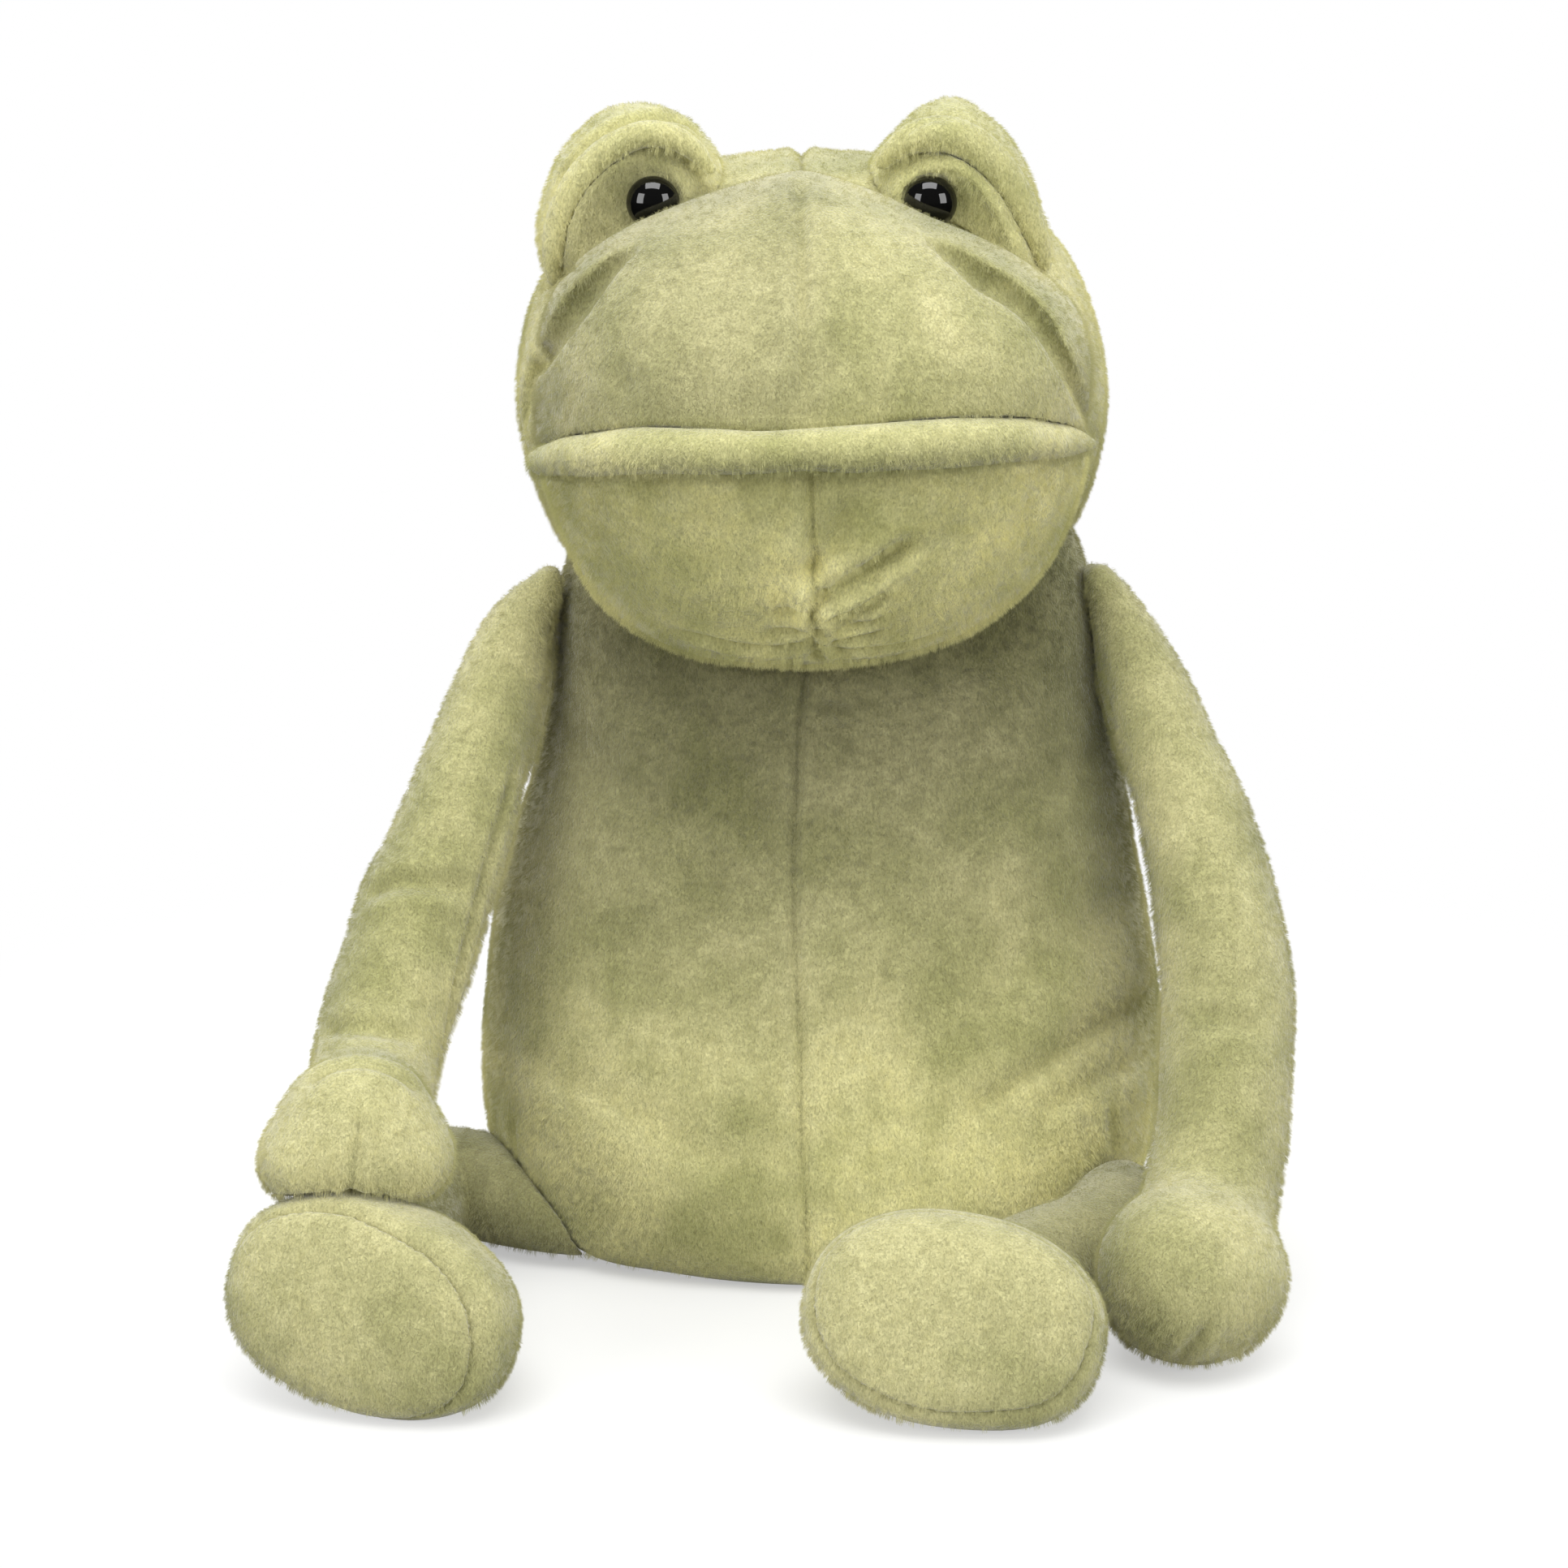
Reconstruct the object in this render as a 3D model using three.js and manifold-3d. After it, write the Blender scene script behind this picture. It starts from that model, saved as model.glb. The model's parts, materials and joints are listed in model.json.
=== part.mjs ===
// Plush frog, sitting. A bean-weighted sack body carries a wide stuffed head with a rolled
// mouth and two hooded eye domes, two hanging arms and two bent legs with padded feet.
// Millimetres, +Z up. The frog faces -Y, so its left limbs are on +X.
// The origin is the middle of the flat oval that the body sits on.

import * as THREE from 'three';
import { mergeVertices } from 'three/addons/utils/BufferGeometryUtils.js';
import Module from 'manifold-3d';

const wasm = await Module();
wasm.setup();

// Clearances
const panelGap = 0.3;
const jointGap = 0.6;
const restCut = 0.5;
const weldDistance = 0.0001;

// Body sack and what weighs it down
const torsoHeight = 182;
const torsoHalfWidth = 81.5;
const torsoFront = 66;
const torsoBack = 58;
const torsoShift = 1.5;
const basePanelThickness = 1.5;
const basePanelHalfWidth = 57;
const beanBagHeight = 42;

// Head
const headHeight = 103;
const headHalfWidth = 67;
const headFront = 56;
const headBack = 54;
const headShift = -1;
const muzzleHeight = 51;
const muzzleHalfWidth = 62;
const muzzleReach = 86;
const jawDepth = 58;
const jawHalfWidth = 62.5;
const jawReach = 84;
const lipDrop = 12;
const lipRadius = 5.3;
const nodAngle = 15;

// Eyes
const eyeSpacing = 62;
const domeSpacing = 71;
const eyePairShift = -4.8;
const domeHalfWidth = 21;
const domeHalfDepth = 24;
const domeHalfHeight = 22;
const hoodRadius = 3.4;
const socketDepth = 7.5;
const eyeRadius = 6;
const eyeDepth = 5.2;
const eyeFlange = 0.9;
const shankRadius = 1.6;
const shankLength = 13;
const washerRadius = 5.6;
const washerThickness = 1.2;
const fabricThickness = 2.4;

// Arms
const armRadius = 16;
const armDropHeight = 143;
const armSplayWidth = 31;
const armReachDepth = 81;
const handHalfWidth = 21;
const armLiftAngle = 80;

// Legs and feet
const legRadius = 13.5;
const legLength = 90;
const footHalfWidth = 32.5;
const footHalfHeight = 23.6;
const footDepth = 38;
const soleCrownHeight = 5;
const legDropAngle = 80;

// Places worked out from the sizes above
const neckHeight = torsoHeight * 0.824;
const headX = headShift;
const lipHeight = neckHeight + headHeight * 0.53;
const nape = new THREE.Vector3(0, headBack * 0.7, neckHeight + headHeight * 0.1);
const shoulderHeight = torsoHeight * 0.89;
const shoulderY = -torsoFront * 0.18;
const shoulderX = torsoHalfWidth * 0.775;
const hipHeight = legRadius - restCut;

const X = new THREE.Vector3(1, 0, 0);
const Y = new THREE.Vector3(0, 1, 0);
const Z = new THREE.Vector3(0, 0, 1);

// A closed solid from corner points and triangles, turned outside out where it has to be
function solidOf(points, faces) {
  let volume = 0;
  for (const [a, b, c] of faces) volume += points[a].dot(points[b].clone().cross(points[c]));
  const turned = volume < 0 ? faces.map(([a, b, c]) => [a, c, b]) : faces;
  const mesh = new wasm.Mesh({
    numProp: 3,
    vertProperties: new Float32Array(points.flatMap((p) => p.toArray())),
    triVerts: new Uint32Array(turned.flat()),
  });
  return new wasm.Manifold(mesh);
}

// A closed solid from a three.js geometry
function solidFrom(geometry, matrix = new THREE.Matrix4()) {
  const bare = geometry.clone().applyMatrix4(matrix);
  bare.deleteAttribute('normal');
  bare.deleteAttribute('uv');
  const merged = mergeVertices(bare, weldDistance);
  const place = merged.attributes.position;
  const points = [];
  for (let i = 0; i < place.count; i += 1) points.push(new THREE.Vector3().fromBufferAttribute(place, i));
  const faces = [];
  for (let i = 0; i < merged.index.count; i += 3) {
    faces.push([0, 1, 2].map((k) => merged.index.getX(i + k)));
  }
  return solidOf(points, faces);
}

// A stack of rings with as many points each, closed by a fan at both ends
function loft(rings, matrix = new THREE.Matrix4()) {
  const sides = rings[0].length;
  const points = rings.flat().map((p) => p.clone().applyMatrix4(matrix));
  const faces = [];
  for (let r = 0; r + 1 < rings.length; r += 1) {
    for (let s = 0; s < sides; s += 1) {
      const a = r * sides + s;
      const b = r * sides + ((s + 1) % sides);
      faces.push([a, b, a + sides], [b, b + sides, a + sides]);
    }
  }
  for (const r of [0, rings.length - 1]) {
    const middle = new THREE.Vector3();
    for (let s = 0; s < sides; s += 1) middle.add(points[r * sides + s]);
    points.push(middle.divideScalar(sides));
    for (let s = 0; s < sides; s += 1) {
      const pair = [r * sides + s, r * sides + ((s + 1) % sides)];
      faces.push(r === 0 ? [pair[1], pair[0], points.length - 1] : [pair[0], pair[1], points.length - 1]);
    }
  }
  return solidOf(points, faces);
}

// Rows of shares with smooth in-between rows added
function smoothRows(rows, steps) {
  const at = (i) => rows[Math.min(Math.max(i, 0), rows.length - 1)];
  const out = [];
  for (let i = 0; i + 1 < rows.length; i += 1) {
    for (let k = 0; k < steps; k += 1) {
      const t = k / steps;
      out.push(rows[i].map((_, c) => {
        const [p, q, r, s] = [at(i - 1)[c], at(i)[c], at(i + 1)[c], at(i + 2)[c]];
        const bend = 2 * p - 5 * q + 4 * r - s;
        return q + ((r - p) * t + bend * t * t + (3 * q - p - 3 * r + s) * t * t * t) / 2;
      }));
    }
  }
  out.push(rows[rows.length - 1]);
  return out;
}

const signedPower = (value, power) => Math.sign(value) * Math.abs(value) ** power;

// A level ring, wider or squarer by its shares, whose front and back reach differ
function levelRing(x, y, z, halfWidth, front, back, squareness, sides) {
  const ring = [];
  for (let s = 0; s < sides; s += 1) {
    const angle = (s / sides) * Math.PI * 2;
    const across = signedPower(Math.cos(angle), 2 / squareness);
    const along = signedPower(Math.sin(angle), 2 / squareness);
    ring.push(new THREE.Vector3(x + halfWidth * across, y + (along < 0 ? front : back) * along, z));
  }
  return ring;
}

// A stuffed form from rows of [height, width, front, back, squareness] shares
function stuffed(rowShares, form, grow = 0) {
  const rows = smoothRows(rowShares, form.steps);
  return rows.map(([high, wide, front, back, squareness], i) => {
    const rise = grow * Math.sign(form.height) * ((2 * i) / (rows.length - 1) - 1);
    const z = form.base + form.height * high + rise;
    return levelRing(form.x, form.y, z, form.halfWidth * wide + grow, form.front * front + grow,
      form.back * back + grow, squareness, form.sides);
  });
}

// A tube of changing radius along a smooth line through points
function tube(points, radii, form, grow = 0) {
  const path = smoothRows(points.map((p, i) => [...p.toArray(), radii[i]]), form.steps);
  const places = path.map(([x, y, z]) => new THREE.Vector3(x, y, z));
  let side = form.side.clone();
  return path.map((row, i) => {
    const from = places[Math.max(i - 1, 0)];
    const to = places[Math.min(i + 1, places.length - 1)];
    const ahead = to.clone().sub(from).normalize();
    side = side.sub(ahead.clone().multiplyScalar(side.dot(ahead))).normalize();
    const up = ahead.clone().cross(side);
    const end = i === 0 ? -grow : (i === path.length - 1 ? grow : 0);
    const middle = places[i].clone().addScaledVector(ahead, end);
    const ring = [];
    for (let s = 0; s < form.sides; s += 1) {
      const angle = (s / form.sides) * Math.PI * 2;
      const radius = row[3] + grow;
      ring.push(middle.clone().addScaledVector(side, Math.cos(angle) * radius)
        .addScaledVector(up, Math.sin(angle) * radius));
    }
    return ring;
  });
}

// A ball with three half sizes
function ball(centre, halfSizes, facets, grow = 0) {
  const size = halfSizes.clone().addScalar(grow);
  const matrix = new THREE.Matrix4().compose(centre, new THREE.Quaternion(), size);
  return solidFrom(new THREE.SphereGeometry(1, facets.around, facets.across), matrix);
}

// A turn about an axis through a point
function turnAbout(point, axis, degrees) {
  const turn = new THREE.Matrix4().makeRotationAxis(axis, THREE.MathUtils.degToRad(degrees));
  const there = new THREE.Matrix4().makeTranslation(point.x, point.y, point.z);
  const back = new THREE.Matrix4().makeTranslation(-point.x, -point.y, -point.z);
  return there.multiply(turn).multiply(back);
}

// The space that a fixed form takes up, seen from a limb that turns from 0 to a limit
function sweep(rings, point, axis, limit, stops) {
  let space = null;
  for (let i = 0; i <= stops; i += 1) {
    const copy = loft(rings, turnAbout(point, axis, (-limit * i) / stops));
    space = space ? space.add(copy) : copy;
  }
  return space;
}

// Everything below a level, as wide as the whole toy
const widest = torsoHeight + headHeight;
function below(level) {
  const slab = new THREE.BoxGeometry(widest * 2, widest * 2, widest);
  return solidFrom(slab, new THREE.Matrix4().makeTranslation(0, 0, level - widest / 2));
}

// Stuffed body: slumped and broad at the base, drawn in to the shoulders, domed inside the neck
const torsoShares = [
  [0, 0.79, 0.86, 0.82, 2.3],
  [0.018, 0.865, 0.93, 0.9, 2.35],
  [0.045, 0.92, 0.975, 0.95, 2.4],
  [0.1, 0.968, 1, 0.985, 2.4],
  [0.2, 1, 0.99, 1, 2.4],
  [0.33, 0.985, 0.95, 0.97, 2.35],
  [0.47, 0.915, 0.87, 0.92, 2.3],
  [0.6, 0.835, 0.78, 0.86, 2.3],
  [0.73, 0.785, 0.68, 0.8, 2.3],
  [0.84, 0.765, 0.58, 0.75, 2.3],
  [0.93, 0.68, 0.48, 0.66, 2.2],
  [0.985, 0.42, 0.3, 0.42, 2.1],
  [1, 0.06, 0.05, 0.06, 2],
];
const torsoForm = {
  x: torsoShift, y: 0, base: 0, height: torsoHeight, halfWidth: torsoHalfWidth,
  front: torsoFront, back: torsoBack, sides: 28, steps: 1,
};
const torsoRings = (grow = 0) => stuffed(torsoShares, torsoForm, grow);

// Oval base panel, let into the bottom of the body
const panelShares = [[0, 1, 1, 1, 2.3], [1, 1, 1, 1, 2.3]];
const panelForm = {
  x: torsoShift, y: 0, base: 0, height: basePanelThickness, halfWidth: basePanelHalfWidth,
  front: basePanelHalfWidth * 0.86, back: basePanelHalfWidth * 0.72, sides: 28, steps: 1,
};
const basePanel = loft(stuffed(panelShares, panelForm));

// Bag of beans in a pocket above the base panel
const bagShares = [
  [0, 0.86, 0.86, 0.86, 2.2],
  [0.1, 0.95, 0.95, 0.95, 2.2],
  [0.35, 1, 1, 1, 2.2],
  [0.65, 0.93, 0.93, 0.93, 2.2],
  [0.88, 0.66, 0.66, 0.66, 2.1],
  [1, 0.12, 0.12, 0.12, 2],
];
const bagForm = {
  x: torsoShift, y: 0, base: basePanelThickness + panelGap, height: beanBagHeight,
  halfWidth: basePanelHalfWidth - panelGap * 2, front: panelForm.front - panelGap * 2,
  back: panelForm.back - panelGap * 2, sides: 20, steps: 1,
};
const beanBag = loft(stuffed(bagShares, bagForm));
const pocket = loft(stuffed(bagShares, bagForm, panelGap));

const torso = loft(torsoRings())
  .subtract(loft(stuffed(panelShares, panelForm, panelGap)))
  .subtract(pocket);

// Back and crown of the head
const headShares = [
  [0, 0.66, 0.46, 0.62, 2.1],
  [0.08, 0.79, 0.64, 0.78, 2.2],
  [0.2, 0.91, 0.82, 0.92, 2.2],
  [0.36, 1, 0.97, 1, 2.2],
  [0.52, 1, 1, 1, 2.2],
  [0.67, 0.955, 0.93, 0.96, 2.2],
  [0.8, 0.855, 0.77, 0.86, 2.2],
  [0.91, 0.665, 0.57, 0.68, 2.15],
  [0.976, 0.4, 0.34, 0.42, 2.1],
  [1, 0.06, 0.05, 0.06, 2],
];
const headForm = {
  x: headX, y: 0, base: neckHeight, height: headHeight, halfWidth: headHalfWidth,
  front: headFront, back: headBack, sides: 24, steps: 1,
};
const headRings = (grow = 0) => stuffed(headShares, headForm, grow);

// The chin lifts about the nape, so the head is hollowed by every place the body takes then
const chinTurn = X.clone().negate();
const neckSpace = sweep(torsoRings(jointGap), nape, chinTurn, nodAngle, 3);

// Upper muzzle: a pillow whose top edge peaks in the middle
const muzzleShares = [
  [-0.34, 1, 1, 1, 2.3],
  [0.02, 1, 1, 1, 2.3],
  [0.23, 0.975, 0.96, 1, 2.25],
  [0.42, 0.92, 0.875, 1, 2.2],
  [0.57, 0.84, 0.77, 0.95, 2.15],
  [0.72, 0.675, 0.625, 0.85, 2.1],
  [0.85, 0.47, 0.46, 0.7, 2.05],
  [0.94, 0.25, 0.28, 0.5, 2],
  [1, 0.03, 0.05, 0.1, 2],
];
const muzzleY = -muzzleReach * 0.42;
const muzzleForm = {
  x: headX, y: muzzleY, base: lipHeight, height: muzzleHeight, halfWidth: muzzleHalfWidth,
  front: muzzleReach + muzzleY, back: muzzleReach * 0.3, sides: 24, steps: 1,
};
const muzzleRings = () => stuffed(muzzleShares, muzzleForm);

// Lower jaw: a bowl that hangs over the chest
const jawShares = [
  [-0.14, 1, 1, 1, 2.3],
  [0.1, 1, 1, 1, 2.3],
  [0.27, 0.99, 0.975, 0.98, 2.3],
  [0.45, 0.95, 0.92, 0.9, 2.25],
  [0.65, 0.88, 0.83, 0.8, 2.2],
  [0.82, 0.76, 0.73, 0.7, 2.15],
  [0.935, 0.59, 0.61, 0.55, 2.1],
  [1, 0.32, 0.44, 0.3, 2],
];
const jawY = -jawReach * 0.24;
const jawForm = {
  x: headX, y: jawY, base: lipHeight, height: -jawDepth, halfWidth: jawHalfWidth,
  front: jawReach + jawY, back: jawReach * 0.36, sides: 24, steps: 1,
};

// Mouth roll: a padded welt round the front of the head, pointed at the corners
const lipShares = [
  [-1.02, 0.3, 1, 0.22],
  [-0.985, 0.44, 0.86, 0.6],
  [-0.9, 0.62, 0.66, 0.86],
  [-0.7, 0.83, 0.42, 1],
  [-0.38, 0.96, 0.16, 1],
  [0, 1, 0, 1],
];
const lipRows = [...lipShares, ...lipShares.slice(0, -1).reverse().map(([x, y, z, r]) => [-x, y, z, r])];
const lipFront = muzzleReach + lipRadius * 0.35;
const lipBack = muzzleReach * 0.18;
const lipPoints = lipRows.map(([x, y, z]) => new THREE.Vector3(
  headX + muzzleHalfWidth * x,
  -lipBack - (lipFront - lipBack) * y,
  lipHeight - lipDrop * z,
));
const lipRadii = lipRows.map((row) => lipRadius * row[3]);
const lipForm = { sides: 8, steps: 2, side: Z };
const lipRings = (grow = 0) => tube(lipPoints, lipRadii, lipForm, grow);

// The parting between muzzle and jaw drops towards the corners of the mouth
const partingSlope = Math.atan2(lipDrop, lipFront - muzzleReach * 0.4);
function belowParting(shift) {
  const slab = new THREE.BoxGeometry(widest * 2, widest * 2, widest);
  const matrix = new THREE.Matrix4()
    .makeTranslation(0, -lipFront, lipHeight + shift)
    .multiply(new THREE.Matrix4().makeRotationX(-partingSlope))
    .multiply(new THREE.Matrix4().makeTranslation(0, 0, -widest / 2));
  return solidFrom(slab, matrix);
}

const domeFacets = { around: 14, across: 9 };
const socketFacets = { around: 12, across: 8 };

// Eye domes, hoods and safety eyes. Side is -1 for the frog's right and 1 for its left.
const domeY = -domeHalfDepth * 0.5;
const domeZ = neckHeight + headHeight * 0.918;
function domeCentre(side) {
  return new THREE.Vector3(headX + eyePairShift + (side * domeSpacing) / 2, domeY, domeZ);
}
function domeSolid(side, grow = 0) {
  const halfSizes = new THREE.Vector3(domeHalfWidth, domeHalfDepth, domeHalfHeight);
  return ball(domeCentre(side), halfSizes, domeFacets, grow);
}

// The hood is a roll that arches over the socket from the outer corner to the inner one
const hoodStart = -32;
const hoodEnd = 150;
const hoodStops = 9;
const hoodRadiusShares = [0.45, 0.8, 1, 1, 1, 1, 1, 0.85, 0.5];
function hoodRings(side, grow = 0) {
  const centre = domeCentre(side);
  const points = [];
  for (let i = 0; i < hoodStops; i += 1) {
    const angle = THREE.MathUtils.degToRad(hoodStart + ((hoodEnd - hoodStart) * i) / (hoodStops - 1));
    const out = Math.cos(angle) * 0.92;
    const high = Math.sin(angle) * 0.77;
    const proud = Math.sqrt(Math.max(1 - out * out - high * high, 0.04));
    points.push(new THREE.Vector3(
      centre.x + side * domeHalfWidth * out,
      centre.y - domeHalfDepth * proud - hoodRadius * 0.4,
      centre.z + domeHalfHeight * high,
    ));
  }
  const radii = hoodRadiusShares.map((share) => hoodRadius * share);
  return tube(points, radii, { sides: 8, steps: 1, side: Y }, grow);
}

const eyeBackY = domeY - domeHalfDepth + socketDepth * 0.92;
function eyePlace(side) {
  const x = headX + eyePairShift + (side * eyeSpacing) / 2;
  return new THREE.Matrix4()
    .makeTranslation(x, eyeBackY, domeZ + domeHalfHeight * 0.15)
    .multiply(new THREE.Matrix4().makeRotationX(Math.PI / 2));
}

// A round piece about the local Z axis from radius and height pairs
function turned(pairs, sides, matrix) {
  const outline = pairs.map(([radius, high]) => new THREE.Vector2(radius, high));
  const upright = new THREE.Matrix4().makeRotationX(Math.PI / 2);
  return solidFrom(new THREE.LatheGeometry(outline, sides), matrix.clone().multiply(upright));
}

function eyeSolid(side) {
  const crown = [];
  const crownStops = 5;
  for (let i = 0; i <= crownStops; i += 1) {
    const angle = (i / crownStops) * (Math.PI / 2);
    const high = eyeFlange + (eyeDepth - eyeFlange) * Math.sin(angle);
    crown.push([i === crownStops ? 0 : eyeRadius * Math.cos(angle), high]);
  }
  const tip = shankRadius * 0.5;
  const stem = [[0, -shankLength], [tip, -shankLength], [shankRadius, tip - shankLength], [shankRadius, 0]];
  return turned([...stem, [eyeRadius * 0.9, 0], ...crown], 16, eyePlace(side));
}

const washerBack = -fabricThickness - panelGap * 2 - washerThickness;
function washerSolid(side) {
  const bore = shankRadius + panelGap / 2;
  const top = washerBack + washerThickness;
  const ring = [[bore, washerBack], [washerRadius, washerBack], [washerRadius, top], [bore, top]];
  return turned([...ring, ring[0]], 16, eyePlace(side));
}

// What the eye's seat, its shank hole and the washer's pocket take out of the dome
function eyeSpace(side) {
  const seatRadius = eyeRadius + panelGap;
  const seat = [[0, -panelGap], [seatRadius, -panelGap], [seatRadius, eyeRadius], [0, eyeRadius]];
  const hole = shankRadius + panelGap * 1.5;
  const deep = -shankLength - panelGap;
  const bore = [[0, deep], [hole, deep], [hole, 0], [0, 0]];
  const low = washerBack - panelGap;
  const high = -fabricThickness - panelGap;
  const wide = washerRadius + panelGap;
  const room = [[0, low], [wide, low], [wide, high], [0, high]];
  return [seat, bore, room].map((pairs) => turned(pairs, 12, eyePlace(side)));
}

function socketSpace(side) {
  const centre = domeCentre(side);
  const place = new THREE.Vector3(centre.x - side * domeHalfWidth * 0.08, centre.y - domeHalfDepth, centre.z);
  const halfSizes = new THREE.Vector3(domeHalfWidth * 0.72, socketDepth, domeHalfHeight * 0.66);
  return ball(place, halfSizes, socketFacets);
}

// The head's pieces, the larger ones cutting the smaller
const lipTube = loft(lipRings());
const lipRoom = loft(lipRings(panelGap));
const headRoom = loft(headRings(panelGap));
let head = loft(headRings()).subtract(neckSpace);
let muzzle = loft(muzzleRings()).subtract(headRoom).subtract(belowParting(panelGap / 2)).subtract(lipRoom);
const jaw = loft(stuffed(jawShares, jawForm)).subtract(headRoom).subtract(neckSpace)
  .intersect(belowParting(-panelGap / 2)).subtract(lipRoom);
const mouthRoll = lipTube.subtract(headRoom);
const eyeDomes = {};
const eyeHoods = {};
for (const side of [-1, 1]) {
  const hoodRoom = loft(hoodRings(side, panelGap));
  let dome = domeSolid(side).subtract(headRoom).subtract(socketSpace(side)).subtract(hoodRoom);
  for (const space of eyeSpace(side)) {
    dome = dome.subtract(space);
    head = head.subtract(space);
  }
  eyeDomes[side] = dome;
  eyeHoods[side] = loft(hoodRings(side)).subtract(headRoom);
  muzzle = muzzle.subtract(domeSolid(side, panelGap)).subtract(hoodRoom);
}

// Arms: from a pointed shoulder to a round hand
const leftArmShares = [
  [0, -0.09, 0, 0.16],
  [0.035, 0, 0.015, 0.26],
  [0.075, 0.17, 0.05, 0.4],
  [0.145, 0.31, 0.12, 0.64],
  [0.21, 0.45, 0.19, 0.75],
  [0.29, 0.58, 0.265, 0.81],
  [0.355, 0.69, 0.33, 0.86],
  [0.43, 0.8, 0.41, 0.93],
  [0.515, 0.88, 0.49, 0.98],
  [0.6, 0.93, 0.57, 1],
  [0.695, 0.94, 0.665, 1],
  [0.785, 0.93, 0.79, 0.97],
  [0.88, 0.87, 0.93, 0.96],
  [0.96, 0.76, 1.04, 0.9],
];
const rightArmShares = [
  [0, 0, 0, 0.12],
  [0.04, 0.01, 0.02, 0.2],
  [0.11, 0.19, 0.09, 0.47],
  [0.2, 0.35, 0.19, 0.7],
  [0.29, 0.51, 0.28, 0.88],
  [0.365, 0.62, 0.36, 0.97],
  [0.445, 0.79, 0.45, 1],
  [0.505, 0.9, 0.51, 1.01],
  [0.58, 1.02, 0.59, 1],
  [0.66, 1.14, 0.675, 0.97],
  [0.72, 1.2, 0.78, 0.95],
  [0.735, 1.24, 0.92, 0.9],
  [0.738, 1.26, 1.05, 0.86],
];
const handFacets = { around: 14, across: 9 };
const leftHandShares = { drop: 1, splay: 0.645, reach: 1.13, width: 1, depth: 0.93, height: 0.93 };
const rightHandShares = { drop: 0.758, splay: 1.28, reach: 1.16, width: 1.07, depth: 0.95, height: 0.73 };

function shoulder(side) {
  return new THREE.Vector3(torsoShift + side * shoulderX, shoulderY, shoulderHeight);
}
function armPoint(side, drop, splay, reach) {
  const start = shoulder(side);
  return new THREE.Vector3(
    start.x + side * armSplayWidth * splay,
    start.y - armReachDepth * reach,
    start.z - armDropHeight * drop,
  );
}
function armSolid(side, rowShares, hand, footRoom) {
  const points = rowShares.map(([drop, splay, reach]) => armPoint(side, drop, splay, reach));
  const radii = rowShares.map((row) => armRadius * row[3]);
  const limb = loft(tube(points, radii, { sides: 12, steps: 1, side: X }));
  const halfSizes = new THREE.Vector3(hand.width, hand.depth, hand.height).multiplyScalar(handHalfWidth);
  const palm = ball(armPoint(side, hand.drop, hand.splay, hand.reach), halfSizes, handFacets);
  const liftTurn = Y.clone().multiplyScalar(-side);
  return limb.add(palm)
    .subtract(sweep(torsoRings(jointGap), shoulder(side), liftTurn, armLiftAngle, 4))
    .subtract(loft(headRings(jointGap)))
    .subtract(footRoom)
    .subtract(below(0));
}

// Feet: padded ovals whose sole panels face forward and lean back
const footShares = [
  [0, 0.92, 0.92, 0.92, 2.25],
  [0.07, 0.975, 0.95, 0.975, 2.25],
  [0.2, 1, 0.93, 1, 2.25],
  [0.48, 0.96, 0.8, 0.97, 2.2],
  [0.74, 0.82, 0.6, 0.86, 2.1],
  [0.92, 0.6, 0.42, 0.68, 2],
  [1, 0.36, 0.28, 0.44, 2],
];
const soleShares = [
  [0, 0.92, 0.92, 0.92, 2.25],
  [0.4, 0.84, 0.84, 0.84, 2.2],
  [0.75, 0.66, 0.66, 0.66, 2.1],
  [1, 0.3, 0.3, 0.3, 2],
];
const footForm = {
  x: 0, y: 0, base: 0, height: -footDepth, halfWidth: footHalfWidth,
  front: footHalfHeight, back: footHalfHeight, sides: 20, steps: 1,
};
const soleForm = { ...footForm, base: panelGap, height: soleCrownHeight };

// Where each leg leaves the body, and its route on the ground in shares of the leg's reach
const rightLeg = {
  hipShares: { out: 0.828, forward: 0.515, high: 1 },
  routeShares: [
    [-0.178, 0.044, 1],
    [0, 0, 1],
    [0.156, -0.044, 1],
    [0.289, 0.044, 1],
    [0.344, 0.244, 0.97],
    [0.367, 0.489, 0.95],
  ],
  footShares: { out: 0.367, forward: 1.11 },
  lean: 16, yaw: -12, roll: 14,
};
const leftLeg = {
  hipShares: { out: 0.767, forward: 0.606, high: 0.7 },
  routeShares: [
    [-0.09, -0.156, 1],
    [0, 0, 1],
    [0.05, 0.133, 1],
    [0, 0.28, 1],
    [-0.12, 0.43, 0.97],
    [-0.24, 0.565, 0.95],
  ],
  footShares: { out: -0.39, forward: 1.13 },
  lean: 20, yaw: -3, roll: 9,
};

function hip(side, leg) {
  const { out, forward, high } = leg.hipShares;
  return new THREE.Vector3(torsoShift + side * torsoHalfWidth * out, -torsoFront * forward, hipHeight * high);
}
function legPoint(side, leg, out, forward, z) {
  const start = hip(side, leg);
  return new THREE.Vector3(start.x + side * legLength * out, start.y - legLength * forward, z);
}

// The foot's own frame: width across, height up the sole, depth behind the sole
function footPlace(side, leg) {
  const { out, forward } = leg.footShares;
  const turn = (axis, degrees) => new THREE.Matrix4()
    .makeRotationAxis(axis, THREE.MathUtils.degToRad(degrees));
  const tilt = turn(Z, leg.yaw)
    .multiply(turn(X, -leg.lean))
    .multiply(turn(Y, leg.roll))
    .multiply(turn(X, 90));
  const lowest = Math.min(...stuffed(footShares, footForm).flat().map((p) => p.clone().applyMatrix4(tilt).z));
  const middle = legPoint(side, leg, out, forward, -lowest - restCut);
  return new THREE.Matrix4().makeTranslation(middle.x, middle.y, middle.z).multiply(tilt);
}

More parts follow.
